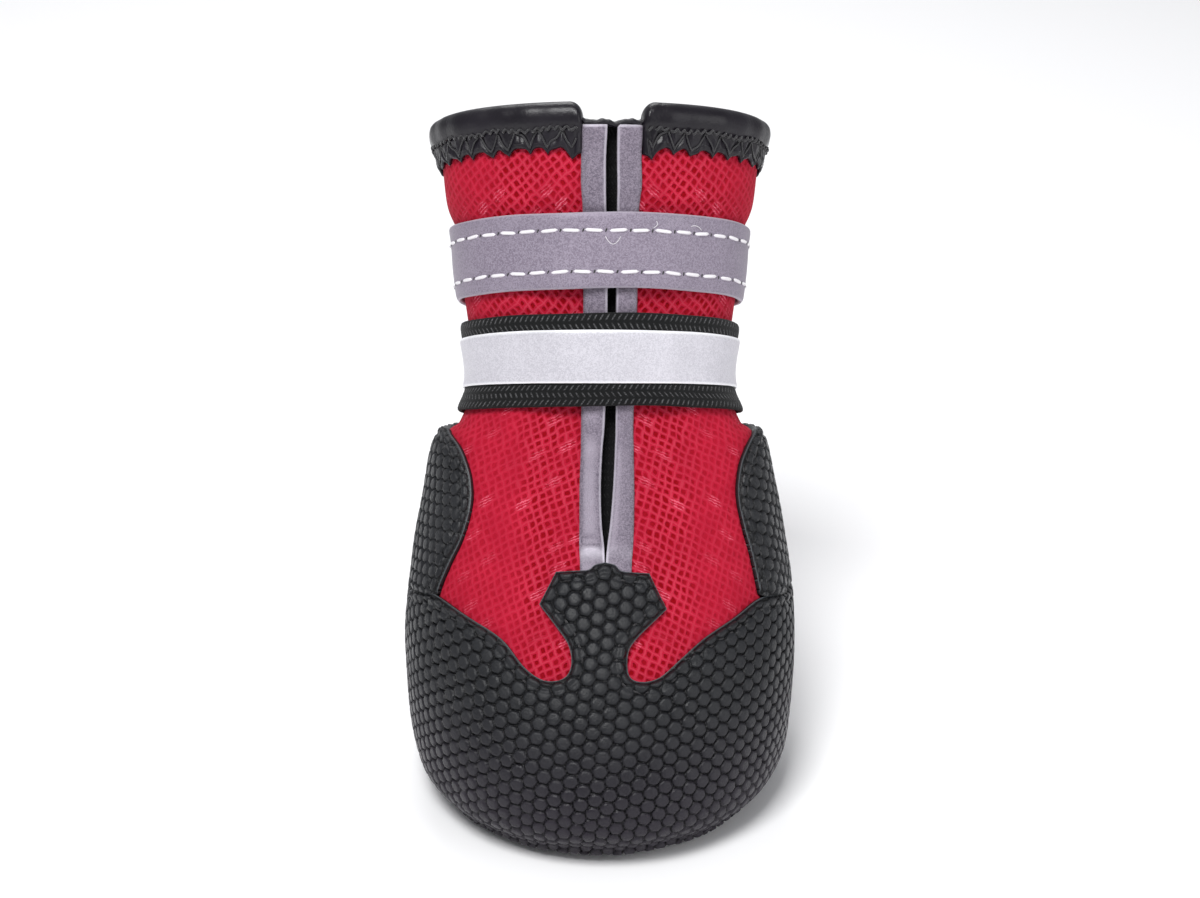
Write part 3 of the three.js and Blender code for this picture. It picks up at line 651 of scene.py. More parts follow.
def binding_finish():
    """Coated cloth: nearly black, glossy, with a leathery grain."""
    material, tree, shader = new_material(
        "glossy_binding", Specular_IOR_Level=0.3, Coat_Weight=0.06, Coat_Roughness=0.2)
    grain = use_group(tree, GRAIN, place_of(tree), Scale=1.6, Coarseness=0.9)
    base = mixed(tree, grain.outputs["Patches"], rgb(11, 9, 13), rgb(28, 24, 33))
    tree.links.new(base, shader.inputs["Base Color"])
    rough = ramp(tree, grain.outputs["Patches"], 0.3, 0.7, 0.28, 0.44)
    tree.links.new(rough, shader.inputs["Roughness"])
    bump(tree, shader, grain.outputs["Height"], 0.14, 0.6)
    return material


def thread_finish(name, light, dark):
    """Sewing thread: a twisted cord, lighter on its turns."""
    material, tree, shader = new_material(name, Roughness=0.6, Sheen_Weight=0.3)
    twist = use_group(tree, GRAIN, place_of(tree), Scale=5.0, Coarseness=0.2)
    base = mixed(tree, twist.outputs["Height"], dark, light)
    tree.links.new(base, shader.inputs["Base Color"])
    bump(tree, shader, twist.outputs["Height"], 0.06, 0.6)
    return material


MESH_FABRIC = mesh_finish()
MOULDED = rubber_finish("moulded_rubber", rgb(38, 39, 42), rgb(24, 25, 28), 0.38)
SOLE_RUBBER = rubber_finish("sole_rubber", rgb(42, 42, 46), rgb(28, 28, 32), 0.6)
STRAP_GREY = reflective_finish("strap_grey", rgb(152, 143, 158), rgb(122, 112, 128), 0.55,
                               rgb(176, 168, 182))
# The strips' last colour is a painted highlight, laid on by their number edge.
EDGING_GREY = reflective_finish("edging_grey", rgb(138, 128, 142), rgb(98, 90, 104), 0.5,
                                rgb(214, 208, 220))
TAPE_SILVER = reflective_finish("tape_silver", rgb(213, 211, 218), rgb(191, 189, 197), 0.45,
                                rgb(252, 252, 255))
STRAP_BLACK = webbing_finish("strap_black", rgb(104, 104, 106), rgb(14, 15, 16), 1.7, 1.15)
GUSSET_BLACK = webbing_finish("gusset_black", rgb(24, 24, 26), rgb(9, 9, 11), 0.9, 0.7)
LINING = webbing_finish("lining_cloth", rgb(66, 66, 70), rgb(34, 34, 38), 1.1, 1.1)
GLOSSY = binding_finish()
WHITE_THREAD = thread_finish("white_thread", rgb(250, 248, 250), rgb(214, 208, 216))
BLACK_THREAD = thread_finish("black_thread", rgb(40, 38, 42), rgb(8, 8, 10))
print("finishes:", len(bpy.data.materials))

# %% [markdown]
# ## Laying a surface flat
# The rubber of the cap is pressed from a flat sheet, so its hexagons keep their size as they go round
# the toe. To place them, the last's surface is laid flat the way a pattern maker does it: the grid
# of points starts roughly flat, and then every link between neighbours pulls or pushes its ends
# until its length is the true one, as nearly as a domed surface allows. Hexagons drawn straight in t
# and a would be simpler, but they would crowd where the rings lie close together.

# %% Flatten a patch of the last
LINKS = [(0, 1), (1, 0), (1, 1), (1, -1), (0, 3), (3, 0)]


def lay_flat(points, rounds):
    """Places in the plane of a grid of points. Each round moves both ends of every link by half of
    the difference between its length and the true length, averaged over a point's links."""
    rows, columns = points.shape[:2]
    along = np.linalg.norm(np.diff(points, axis=1), axis=2)
    up = np.linalg.norm(np.diff(points, axis=0), axis=2)
    u = np.pad(np.cumsum(along, axis=1), ((0, 0), (1, 0)))
    u -= u[:, columns // 2][:, None]
    v = np.pad(np.cumsum(up, axis=0), ((1, 0), (0, 0)))
    flat = np.stack([u, v], axis=-1)
    pairs = []
    for down, right in LINKS:
        a = (slice(0, rows - down), slice(max(0, -right), columns - max(0, right)))
        b = (slice(down, rows), slice(max(0, right), columns + min(0, right)))
        pairs.append((a, b, np.linalg.norm(points[b] - points[a], axis=-1)))
    for _ in range(rounds):
        shift = np.zeros_like(flat)
        count = np.zeros((rows, columns, 1))
        for a, b, rest in pairs:
            way = flat[b] - flat[a]
            length = np.linalg.norm(way, axis=-1)
            move = way * ((length - rest) / np.maximum(length, 1e-9) * 0.5)[..., None]
            shift[a] += move
            shift[b] -= move
            count[a] += 1
            count[b] += 1
        flat += 1.5 * shift / count
    return flat


def grid_value(grid, rows, columns):
    """Values between the points of a grid: Catmull-Rom weights over four rows and four columns."""
    def weights(share):
        return np.stack([
            -0.5 * share + share ** 2 - 0.5 * share ** 3,
            1 - 2.5 * share ** 2 + 1.5 * share ** 3,
            0.5 * share + 2 * share ** 2 - 1.5 * share ** 3,
            -0.5 * share ** 2 + 0.5 * share ** 3,
        ])
    j = np.clip(np.floor(rows).astype(int), 0, grid.shape[0] - 2)
    i = np.clip(np.floor(columns).astype(int), 0, grid.shape[1] - 2)
    across = weights(columns - i)
    down = weights(rows - j)
    padded = np.pad(grid, ((1, 1), (1, 1), (0, 0)), mode="reflect", reflect_type="odd")
    total = np.zeros(np.shape(rows) + (grid.shape[2],))
    for m in range(4):
        for n in range(4):
            total += (down[m] * across[n])[..., None] * padded[j + m, i + n]
    return total


CHART_FOOT = -0.8


def make_chart(t_to, a_from, a_to, rows, columns, rounds=1500):
    """A flat map of the last from just under the sole's edge up to ring t_to, between two angles."""
    t = np.linspace(CHART_FOOT, t_to, rows)[:, None] * np.ones(columns)
    a = np.linspace(a_from, a_to, columns) * np.ones((rows, 1))
    flat = lay_flat(over_last(t, a, 0.9), rounds)
    middle = columns // 2
    up = flat[rows // 2, middle] - flat[0, middle]
    turn = np.arctan2(up[0], up[1])
    c, s = np.cos(turn), np.sin(turn)
    flat = (flat - flat[rows // 2, middle]) @ np.array([[c, s], [-s, c]])
    return {"flat": flat, "t_to": t_to, "a_from": a_from, "a_to": a_to}


def chart_at(chart, t, a):
    """Flat coordinates, in millimetres, of a place on the last."""
    rows, columns = chart["flat"].shape[:2]
    t, a = np.broadcast_arrays(t, a)
    row = (t - CHART_FOOT) / (chart["t_to"] - CHART_FOOT) * (rows - 1)
    column = (a - chart["a_from"]) / (chart["a_to"] - chart["a_from"]) * (columns - 1)
    return grid_value(chart["flat"], row, column)


def on_last(chart, target, t, a, rounds=8):
    """The place on the last with given flat coordinates. Newton's steps from a first guess."""
    step = 1e-3
    for _ in range(rounds):
        here = chart_at(chart, t, a)
        by_t = (chart_at(chart, t + step, a) - here) / step
        by_a = (chart_at(chart, t, a + step) - here) / step
        miss = target - here
        det = by_t[..., 0] * by_a[..., 1] - by_t[..., 1] * by_a[..., 0]
        det = np.where(np.abs(det) < 1e-6, 1e-6, det)
        t = t + (miss[..., 0] * by_a[..., 1] - miss[..., 1] * by_a[..., 0]) / det
        a = a + (by_t[..., 0] * miss[..., 1] - by_t[..., 1] * miss[..., 0]) / det
        t = np.clip(t, CHART_FOOT, chart["t_to"])
        a = np.clip(a, chart["a_from"], chart["a_to"])
    return t, a


CAP_CHART = make_chart(4.9, np.radians(-116), np.radians(116), 38, 85)
HEEL_CHART = make_chart(6.6, np.radians(40), np.radians(320), 40, 101)
print("cap laid flat:", CAP_CHART["flat"].reshape(-1, 2).min(0).round(1),
      CAP_CHART["flat"].reshape(-1, 2).max(0).round(1))

# %% [markdown]
# ## The hexagons
# Columns of hexagons stand with a flat side up and lean a little to the right. Each is a low pillow
# with a flat top. The pillows fade towards a cut edge, where the tool left a narrow plain border.
# Copies of one modelled hexagon could be set side by side, but they would cut into each other where
# the cap bends. As a height over one sheet they follow every bend.

# %% Hexagon relief
HEX_PITCH = 2.72
HEX_LEAN = np.radians(9)
HEX_HEIGHT = 0.78
CAP_SPREAD = 0.0035
HEEL_SPREAD = 0.0002


def stretched(flat, spread):
    """Flat places spread apart steadily downwards, so that a lattice drawn there is wider at the
    top. A complex exponential does it and keeps each small hexagon regular."""
    place = np.exp(spread * (1j * flat[..., 0] - flat[..., 1])) / spread
    return place.imag, 1 / spread - place.real


def hexagons(u, v):
    """Share of the way from the middle of the nearest hexagon (0) to its sides (1). Two lattices, one
    shifted by half a cell, make the hexagonal one, and the nearer middle counts. A part of a circle's
    share is mixed in, which makes the corners a little round."""
    x = (u * np.cos(HEX_LEAN) - v * np.sin(HEX_LEAN)) / HEX_PITCH
    y = (u * np.sin(HEX_LEAN) + v * np.cos(HEX_LEAN)) / HEX_PITCH
    wide = np.sqrt(3)
    first = np.stack([x - np.round(x / wide) * wide, y - np.round(y)])
    second = np.stack([x - (np.floor(x / wide) + 0.5) * wide, y - np.floor(y) - 0.5])
    near = np.where((first ** 2).sum(0) < (second ** 2).sum(0), first, second)
    slanted = near[0] * wide / 2
    sides = np.stack([near[1], slanted + near[1] / 2, slanted - near[1] / 2])
    flat_sided = 2 * np.abs(sides).max(axis=0)
    round_sided = 1.86 * np.hypot(near[0], near[1])
    return 0.84 * flat_sided + 0.16 * round_sided


def pillow(share):
    """Height of a hexagon: a quarter sine up from the groove, then a nearly flat top."""
    rise = np.clip((0.96 - share) / 0.24, 0, 1)
    return np.sin(rise * np.pi / 2) ** 0.9 * (0.94 + 0.08 * (1 - share ** 2))


print("pillow from middle to side:", pillow(np.linspace(0, 1, 6)).round(2))

# %% [markdown]
# ## Outlines of the cap and the counter
# Both outlines are drawn on the last as short tables of ring numbers and angles. The cap's
# runs from the side to the tab on the instep and down the other side, and it isn't quite the same on
# both sides, because the tab sits a little to the right. A smooth curve goes through each table and
# breaks at the sharp corners of the tab. At the side the cap ends in a straight line, where the
# counter begins. A curve drawn in Blender and projected on to the body would do the same, but a table
# can be read and corrected point by point.

# %% Outline tables
# Columns: ring number, angle in degrees, 1 for a sharp corner
CAP_RIGHT = np.array([
    [3.54, 93.0, 1], [3.56, 80.0, 0], [3.69, 66.0, 0], [3.77, 54.8, 0], [3.67, 42.2, 0], [3.55, 31.2, 0],
    [3.37, 22.6, 0], [3.20, 15.8, 0], [3.17, 10.4, 0], [3.25, 7.2, 0], [3.48, 7.2, 0], [3.65, 10.2, 0],
    [3.92, 19.0, 1], [4.32, 14.0, 1], [4.34, 8.6, 0], [4.36, 5.6, 0], [4.42, 4.0, 0], [4.45, 1.2, 1],
])
CAP_LEFT = np.array([
    [3.54, -93.0, 1], [3.56, -82.0, 0], [3.70, -67.0, 0], [3.78, -56.4, 0], [3.67, -39.0, 0],
    [3.54, -28.4, 0], [3.29, -20.8, 0], [3.18, -15.4, 0], [3.18, -11.2, 0], [3.25, -8.2, 0],
    [3.40, -7.2, 0], [3.58, -8.4, 0], [3.75, -11.8, 0], [3.98, -17.2, 1], [4.34, -12.4, 1],
    [4.36, -6.4, 0], [4.37, -3.0, 0], [4.42, -1.4, 0], [4.45, 1.2, 1],
])
WING_RIGHT = np.array([
    [3.60, 56.9, 1], [3.82, 56.3, 0], [4.35, 53.9, 0], [4.64, 51.9, 0], [5.02, 50.5, 0],
    [5.36, 51.7, 0], [5.74, 56.7, 0], [6.06, 67.0, 0], [6.28, 82.0, 1], [6.30, 120.0, 0], [6.30, 180.0, 1],
])
WING_LEFT = np.array([
    [3.60, -57.9, 1], [3.86, -57.3, 0], [4.24, -52.7, 0], [4.55, -48.3, 0], [4.91, -45.7, 0],
    [5.24, -45.9, 0], [5.61, -49.5, 0], [6.01, -58.9, 0], [6.34, -77.4, 1], [6.30, -120.0, 0],
    [6.30, -180.0, 1],
])
CAP_REAR = np.array([[8.0, 0.0], [8.0, SOLE_HEIGHT], [13.5, 36.5], [13.5, FOOT_HEIGHT]])
CAP_FOOT = -0.72


def through_points(points, count):
    """A Catmull-Rom curve through points, with count places in each stretch."""
    padded = np.vstack([2 * points[0] - points[1], points, 2 * points[-1] - points[-2]])
    t = np.linspace(0, len(points) - 1, (len(points) - 1) * count + 1)
    i = np.minimum(t.astype(int), len(points) - 2)
    f = (t - i)[:, None]
    a, b, c, d = padded[i], padded[i + 1], padded[i + 2], padded[i + 3]
    cube = 3 * b - a - 3 * c + d
    return b + 0.5 * ((c - a) * f + (2 * a - 5 * b + 4 * c - d) * f ** 2 + cube * f ** 3)


def drawn_line(table):
    """Ring numbers and angles along a table, smooth between its sharp corners."""
    corners = np.flatnonzero(table[:, 2])
    stretches = [through_points(table[i:j + 1, :2], 7) for i, j in zip(corners[:-1], corners[1:])]
    line = np.vstack([stretches[0]] + [stretch[1:] for stretch in stretches[1:]])
    return line * [1, np.pi / 180]


def rear_line(side):
    """The cap's straight rear edge on one side, from the sole up: for each ring, the angle at which
    it passes the line in y and z."""
    t = np.linspace(-0.78, 3.5, 44)
    angles = np.linspace(0, np.radians(130), 700)
    shape = over_last(t[:, None], angles[None, :], 1.0)
    line = np.interp(shape[..., 2], CAP_REAR[:, 1], CAP_REAR[:, 0])
    rear = angles[np.argmax(shape[..., 1] > line, axis=1)]
    return np.stack([t, side * rear], axis=-1)


def cap_half(side, table):
    """One half of the cap's outline: up the rear line, then along the table to the tab's top."""
    rear = rear_line(side)
    line = drawn_line(table)
    return np.vstack([rear, line[side * line[:, 1] < side * rear[-1, 1] - 0.01]])


CAP_HALVES = {1: cap_half(1, CAP_RIGHT), -1: cap_half(-1, CAP_LEFT)}
CAP_OUTLINE = np.vstack([CAP_HALVES[1], CAP_HALVES[-1][::-1][1:]])
print("cap outline:", len(CAP_OUTLINE), "places")


def inside_distance(points, outline, wanted=None):
    """Distance to the nearest side of a closed outline, below 0 outside it, and the nearest place.
    A point is inside when a line from it to the right crosses the outline an odd number of times.
    wanted names the sides that count, and then the distance has no sign."""
    best = np.full(len(points), np.inf)
    nearest = np.zeros_like(points)
    crossings = np.zeros(len(points), dtype=int)
    following = np.roll(outline, -1, axis=0)
    if wanted is not None:
        outline = outline[wanted]
        following = following[wanted]
    for start, end in zip(outline, following):
        side = end - start
        share = np.clip((points - start) @ side / max(side @ side, 1e-12), 0, 1)
        foot = start + share[:, None] * side
        gap = np.hypot(*(points - foot).T)
        closer = gap < best
        best = np.where(closer, gap, best)
        nearest = np.where(closer[:, None], foot, nearest)
        spans = (start[1] > points[:, 1]) != (end[1] > points[:, 1])
        rise = side[1] if abs(side[1]) > 1e-12 else 1e-12
        crossings += spans & (points[:, 0] < start[0] + (points[:, 1] - start[1]) / rise * side[0])
    if wanted is not None:
        return best, nearest
    return np.where(crossings % 2 == 1, best, -best), nearest


# %% [markdown]
# ## Moulded sheets
# A moulded sheet is a fine grid over the last. Grid cells inside the outline are kept, the corners
# that stick out slide on to the outline, and a wall goes down from the cut edge to the mesh. Each
# point knows how far it is from the cut, so the border, the seam and the grey cut line follow it. A
# Boolean cut would trim the sheet too, but it leaves slivers along the edge and knows no distances.

# %% Cut a moulded sheet
SHEET = 0.8
SEAM = 2.1


def even_rows(t_to, count, angle):
    """Ring numbers at even distances up the last, at one angle."""
    t = np.linspace(0, t_to, 600)
    line = over_last(t, np.full(600, angle), 1.0)
    length = distance_along(line)
    return np.interp(np.linspace(0, length[-1], count), length, t)


def wall_faces(faces, count):
    """A quad for each side that belongs to one face only, from the sheet down to its underside."""
    a = faces.ravel()
    b = np.roll(faces, -1, axis=1).ravel()
    single = ~np.isin(a * count + b, b * count + a)
    return np.stack([b[single], a[single], a[single], b[single]], axis=-1)


def compact(points, faces, uv, values):
    """Leave out the points that no face uses."""
    used, new = np.unique(faces, return_inverse=True)
    return points[used], new.reshape(faces.shape), uv[used], {k: v[used] for k, v in values.items()}


def lowered(t, a, height):
    """Points over the last, but below ring -0.2 they go straight down, to 0.3 mm off the floor."""
    points = over_last(np.maximum(t, -0.2), a, height)
    down = np.clip((-0.2 - t) / (-0.2 - CAP_FOOT), 0, 1)
    points[..., 2] += down * (0.3 - points[..., 2])
    return points


def moulded_sheet(chart, outline, free, t, a, spread):
    """Grid of the sheet trimmed to an outline in ring numbers and angles. free names the outline's
    cut sides: the others end at the sole or tuck in under the cap. Height over the last is the
    sheet's thickness plus the pillows, which fade at the cut and under the seam. The sheet is open
    on the side that lies on the mesh, where nothing of it shows."""
    foot = (t - t[:1]) * 5
    border = chart_at(chart, outline[:, 0], outline[:, 1])
    flat = chart_at(chart, t, a)
    reach, nearest = inside_distance(flat.reshape(-1, 2), border)
    inside = reach.reshape(t.shape) > 0
    keep = inside[:-1, :-1] | inside[1:, :-1] | inside[:-1, 1:] | inside[1:, 1:]
    used = np.zeros_like(inside)
    for part in (used[:-1, :-1], used[1:, :-1], used[:-1, 1:], used[1:, 1:]):
        part |= keep
    slide = used & ~inside & (reach.reshape(t.shape) > -1.5)
    target = nearest.reshape(flat.shape)[slide]
    t[slide], a[slide] = on_last(chart, target, t[slide], a[slide], rounds=4)
    flat = chart_at(chart, t, a)
    places = flat.reshape(-1, 2)
    cut = inside_distance(places, border, free)[0].reshape(t.shape)
    tuck = inside_distance(places, border, ~free)[0].reshape(t.shape)
    tuck = np.where(t > 0.7, tuck, 9.0)
    share = hexagons(*stretched(flat, spread))
    seam = np.exp(-((cut - SEAM) / 0.42) ** 2) * (foot > 3)
    plain = smooth((cut - 0.3) / 0.7) * smooth((foot - 0.7) / 1.3) * (1 - 0.35 * seam)
    crown = pillow(share) * plain
    swell = 0.1 * np.sin(flat[..., 0] * 0.35) * np.sin(flat[..., 1] * 0.3 + 1.0)
    lip = smooth(cut / 0.35)
    height = SHEET * (0.75 + 0.25 * lip) + HEX_HEIGHT * crown + swell * lip - 0.1 * seam
    height = height - 0.45 * (1 - smooth(tuck / 1.0))
    points = lowered(t, a, GAP + height).reshape(-1, 3)
    faces = grid_faces(*t.shape)[keep.ravel()]
    count = len(points)
    wall = wall_faces(faces, count) + np.array([count, count, 2 * count, 2 * count])
    under = lowered(t, a, GAP * 0.3).reshape(-1, 3)
    points = np.concatenate([points, points, under])
    grey = (1 - smooth(cut.ravel() / 0.24)) * smooth((tuck.ravel() - 0.3) / 0.4)
    # crown is low in the grooves and 0 on the border, wall and underside, and the rubber's finish paints
    # shade there.
    values = {
        "cut": np.concatenate([grey, 0.3 * grey, 0 * grey]),
        "crown": np.concatenate([((1 - share) * plain).ravel(), np.zeros(2 * count)]),
    }
    return compact(points, np.concatenate([faces, wall]), np.tile(places, (3, 1)), values)


# %% Toe cap
def toe_cap():
    """The cap, from the sole up to the tab on the instep. At the front it reaches down over the
    sole's side almost to the floor, and its lower edge rises to the sole's top at the sides."""
    free = np.arange(len(CAP_OUTLINE)) < len(CAP_OUTLINE) - 1
    a = np.linspace(np.radians(-113), np.radians(113), 470) * np.ones((245, 1))
    t = even_rows(4.75, 245, 0.0)[:, None]
    low = CAP_FOOT * (1 - smooth((np.abs(a) - np.radians(66)) / np.radians(34)))
    t = t + low * np.maximum(0, 1 - t / 1.4)
    return moulded_sheet(CAP_CHART, CAP_OUTLINE, free, t, a, CAP_SPREAD)


points, faces, uv, values = toe_cap()
cap = make_piece("toe_cap_moulding", points, faces, MOULDED, uv, values)
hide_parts("toe_cap")


# %% Heel counter
def counter_half(side):
    """One half of the counter's outline and which of its sides are cut free: up the cap's rear line,
    forward under the cap's edge, up the wing's front edge and along the top to the back."""
    behind = CAP_HALVES[side]
    wing = drawn_line({1: WING_RIGHT, -1: WING_LEFT}[side])
    turn = side * behind[:, 1]
    behind = behind[turn > side * wing[0, 1]]
    level = np.interp(side * wing[:, 1], side * behind[::-1, 1], behind[::-1, 0])
    wing = wing[wing[:, 0] > np.where(side * wing[:, 1] < 1.5, level, 0) + 0.02]
    free = np.concatenate([np.zeros(len(behind), bool), np.ones(len(wing), bool)])
    return np.vstack([behind, wing]), free


def counter_outline():
    """The whole outline, from the right side round the back to the left side."""
    right, right_free = counter_half(1)
    left, left_free = counter_half(-1)
    outline = np.vstack([right, left[::-1][1:] + [0, 2 * np.pi]])
    free = np.concatenate([right_free, left_free[::-1][1:]])
    free[-1] = False
    return outline, free


def heel_counter():
    """The counter, round the heel from wing to wing."""
    outline, free = counter_outline()
    a = np.linspace(np.radians(42.5), np.radians(317.5), 450) * np.ones((215, 1))
    t = even_rows(6.4, 215, np.radians(120))[:, None] * np.ones(450)
    return moulded_sheet(HEEL_CHART, outline, free, t, a, HEEL_SPREAD)


points, faces, uv, values = heel_counter()
counter = make_piece("heel_counter_moulding", points, faces, MOULDED, uv, values)
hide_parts("heel_counter")

# %% [markdown]
# ## The mesh upper
# The upper is one sheet of padded mesh. It starts at one side of the slit, runs round the back and
# ends at the slit's other side. Below the slit its two ends meet under the cap. Its texture
# coordinates are measured on the flattened right half and mirrored, as the cloth would be cut. A
# cloth simulation could drape it, but a padded boot keeps the form of its last when it is empty, so
# a few soft folds are drawn on it instead.

# %% Upper
SLIT_FOOT = 4.42
SLIT_HEAD = 12.84
SLIT_MIDDLE = 2.5
BINDING_NOTCH = 12.1
# Columns: ring number, x of the left strip's outer and inner sides, then of the right strip's
SLIT_LINES = np.array([
    [4.2, -3.8, 1.0, 1.02, 6.1], [4.45, -3.91, 0.94, 1.09, 6.2], [4.64, -4.04, 0.8, 1.39, 6.44],
    [4.91, -4.03, 0.34, 1.97, 6.65], [5.4, -4.03, 0.19, 2.55, 6.73], [6.02, -3.81, 0.51, 2.9, 6.65],
    [6.76, -3.73, 1.01, 3.07, 6.62], [9.11, -3.3, 1.5, 3.13, 7.3], [11.32, -3.44, 1.25, 3.32, 7.7],
    [12.0, -3.74, 1.19, 3.38, 8.22], [12.46, -3.69, 1.21, 3.32, 8.14],
    [12.83, -3.6, 1.48, 3.36, 8.4], [13.2, -3.6, 1.5, 3.36, 8.4],
])


def slit_line(column, t):
    """x of one side of a strip at ring t: a smooth curve through its column of SLIT_LINES."""
    curve = through_points(SLIT_LINES[:, [0, column]], 8)
    return np.interp(t, curve[:, 0], curve[:, 1])


def folds(t, a):
    """Soft relief of the worn mesh: shallow troughs and ridges, each a bell across its line."""
    lines = [
        # ring, angle, run in rings, run in angle, half width, height
        (6.1, 0.62, 0.7, 0.3, 2.2, -0.5), (6.0, -0.6, 0.7, -0.32, 2.2, -0.5),
        (5.2, 0.42, 0.5, 0.22, 2.6, 0.5), (5.2, -0.4, 0.5, -0.2, 2.6, 0.5),
        (12.0, 0.9, 0.5, 0.5, 2.4, 0.35), (12.0, -0.95, 0.4, -0.4, 2.4, 0.35),
        (6.6, 1.3, 0.25, 0.6, 1.6, -0.4), (6.6, -1.3, 0.25, -0.6, 1.6, -0.4),
    ]
    total = np.zeros(np.broadcast(t, a).shape)
    turn = np.mod(a + np.pi, 2 * np.pi) - np.pi
    for ring, angle, run_t, run_a, half, height in lines:
        across = np.stack([(t - ring) * 9.0, (turn - angle) * 32.0])
        way = np.array([run_t * 9.0, run_a * 32.0])
        length = np.hypot(*way)
        along = (across[0] * way[0] + across[1] * way[1]) / length
        off = (across[0] * way[1] - across[1] * way[0]) / length
        total = total + height * np.exp(-(off / half) ** 2 - (along / length) ** 2)
    return total


def upper_sheet():
    """The upper as one slab: rows follow the rings, columns run round from one side of the slit to
    the other. Below the slit its two ends meet, and the faces between them are left out. The number
    open says how far the holes show: fully beside the slit, less at the sides and round the back."""
    rows, columns = 150, 180
    t = np.linspace(0, RIM, rows)[:, None] * np.ones(columns)
    notch = smooth((t - SLIT_HEAD + 0.05) / 0.04)
    right = np.where(t < SLIT_FOOT, 1.0, slit_line(3, t) + 0.25)
    left = np.where(t < SLIT_FOOT, 1.0, slit_line(2, t) - 0.25)
    right = right + notch * (SLIT_MIDDLE + BINDING_NOTCH / 2 - right)
    left = left + notch * (SLIT_MIDDLE - BINDING_NOTCH / 2 - left)
    start = angle_at_x(t, right)
    end = 2 * np.pi + angle_at_x(t, left)
    a = start + (end - start) * np.linspace(0, 1, columns)
    outer = over_last(t, a, folds(t, a))
    inner = over_last(t, a, -WALL)
    half_t = np.linspace(0, RIM, 60)[:, None] * np.ones(40)
    half_a = np.linspace(0, np.pi, 40) * np.ones((60, 1))
    flat = lay_flat(over_last(half_t, half_a, 0.0), 900)
    turn = np.where(a > np.pi, 2 * np.pi - a, a)
    uv = grid_value(flat, t / RIM * 59, np.clip(turn, 0, np.pi) / np.pi * 39).reshape(-1, 2)
    beside = np.abs(outer[..., 0] - 1.6)
    front = 1 - smooth((beside - 13) / 7) * 0.6
    shown = np.where(t > 8, 1 - smooth((beside - 19) / 8) * 0.55, front)
    shown = np.where(np.abs(turn) > 2.0, 0.6, shown)
    points, faces = slab(outer, inner)
    at_foot = (faces // columns % rows < np.argmax(t[:, 0] > SLIT_FOOT)).all(axis=1)
    column = faces % columns
    on_seam = (column == 0).all(axis=1) | (column == columns - 1).all(axis=1)
    faces = faces[~(at_foot & on_seam)]
    return points, faces, np.tile(uv, (2, 1)), {"open": np.tile(shown.ravel(), 2)}


points, faces, uv, values = upper_sheet()
upper = make_piece("mesh_upper", points, faces, MESH_FABRIC, uv, values, merge=0.001)
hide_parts("upper")

# %% [markdown]
# ## Edging and gusset
# Two strips of grey reflective cloth are folded over the sides of the slit, and a black stretch
# panel closes it from behind. Seen close, a strip is a soft half round that is thin at its edges. A
# bent plane with a bevel would be round all over. A section drawn as a table and carried up the slit
# has a tight fold on one side and a flat hem on the other.

# %% Slit edging
# Share of the way across a strip and height over the shaft, from the fold inside the slit outwards
STRIP_SECTION = np.array([
    [0.03, -1.5], [0.01, -0.9], [0.0, -0.3], [0.0, 0.3], [0.015, 0.65], [0.05, 0.9], [0.12, 1.05],
    [0.25, 1.15], [0.4, 1.15], [0.55, 1.1], [0.7, 1.05], [0.82, 0.95], [0.91, 0.8], [0.96, 0.62],
    [0.99, 0.4], [1.0, 0.12],
])


def edging(side):
    """One strip as a slab: its section follows the two sides drawn in SLIT_LINES, and flattens where
    the strip runs in under the tab. The number edge is a painted highlight: it makes the strip lighter
    along its fold, at its foot and along its top."""
    rows, columns = 190, len(STRIP_SECTION)
    t = np.linspace(SLIT_FOOT - 0.2, SLIT_HEAD + 0.05, rows)[:, None] * np.ones(columns)
    share, height = STRIP_SECTION.T[:, None, :] * np.ones((rows, 1))
    fold, hem = (slit_line(3, t), slit_line(4, t)) if side > 0 else (slit_line(2, t), slit_line(1, t))
    open_slit = smooth((t - SLIT_FOOT - 0.02) / 0.16)
    height = np.where(height < 0, height * open_slit, height * (0.35 + 0.65 * open_slit))
    height = height + 0.09 * np.sin(t * 9 + side) * (height > 0.5)
    height = height - (0.3 - 0.15 * side) * np.exp(-((t - 4.68) / 0.045) ** 2) * (height > 0.5)
    a = angle_at_x(t, fold + (hem - fold) * share)
    outer = over_last(t, a, height + GAP * 0.3)
    a_in = angle_at_x(t, fold + (hem - fold) * np.clip(share, 0.06, 0.94))
    inner = over_last(t, a_in, np.where(height < 0, height, np.minimum(height * 0.3, 0.12)))
    line = over_last(t[:, 0], a[:, 5], 0.0)
    length = distance_along(line)
    uv = np.stack([share * 4.9 + 20 * side, length[:, None] + 0 * share], axis=-1).reshape(-1, 2)
    # Painted highlight: lighter along the fold inside the slit, in a band at the strip's foot below its
    # crease, and along its top.
    light = 0.85 * smooth((0.09 - share) / 0.06) * smooth(share / 0.02)
    light = light + (0.35 - 0.2 * side) * np.exp(-((t - 4.54) / 0.06) ** 2)
    light = light + 0.8 * smooth((t - SLIT_HEAD - 0.01) / 0.03)
    points, faces = slab(outer, inner)
    return points, faces, np.tile(uv, (2, 1)), {"edge": np.tile(np.clip(light, 0, 1).ravel(), 2)}


for side, label in ((-1, "left"), (1, "right")):
    points, faces, uv, values = edging(side)
    strip = make_piece(f"edging_strip_{label}", points, faces, EDGING_GREY, uv, values, merge=0.001)
    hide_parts(f"slit_edging_{label}")


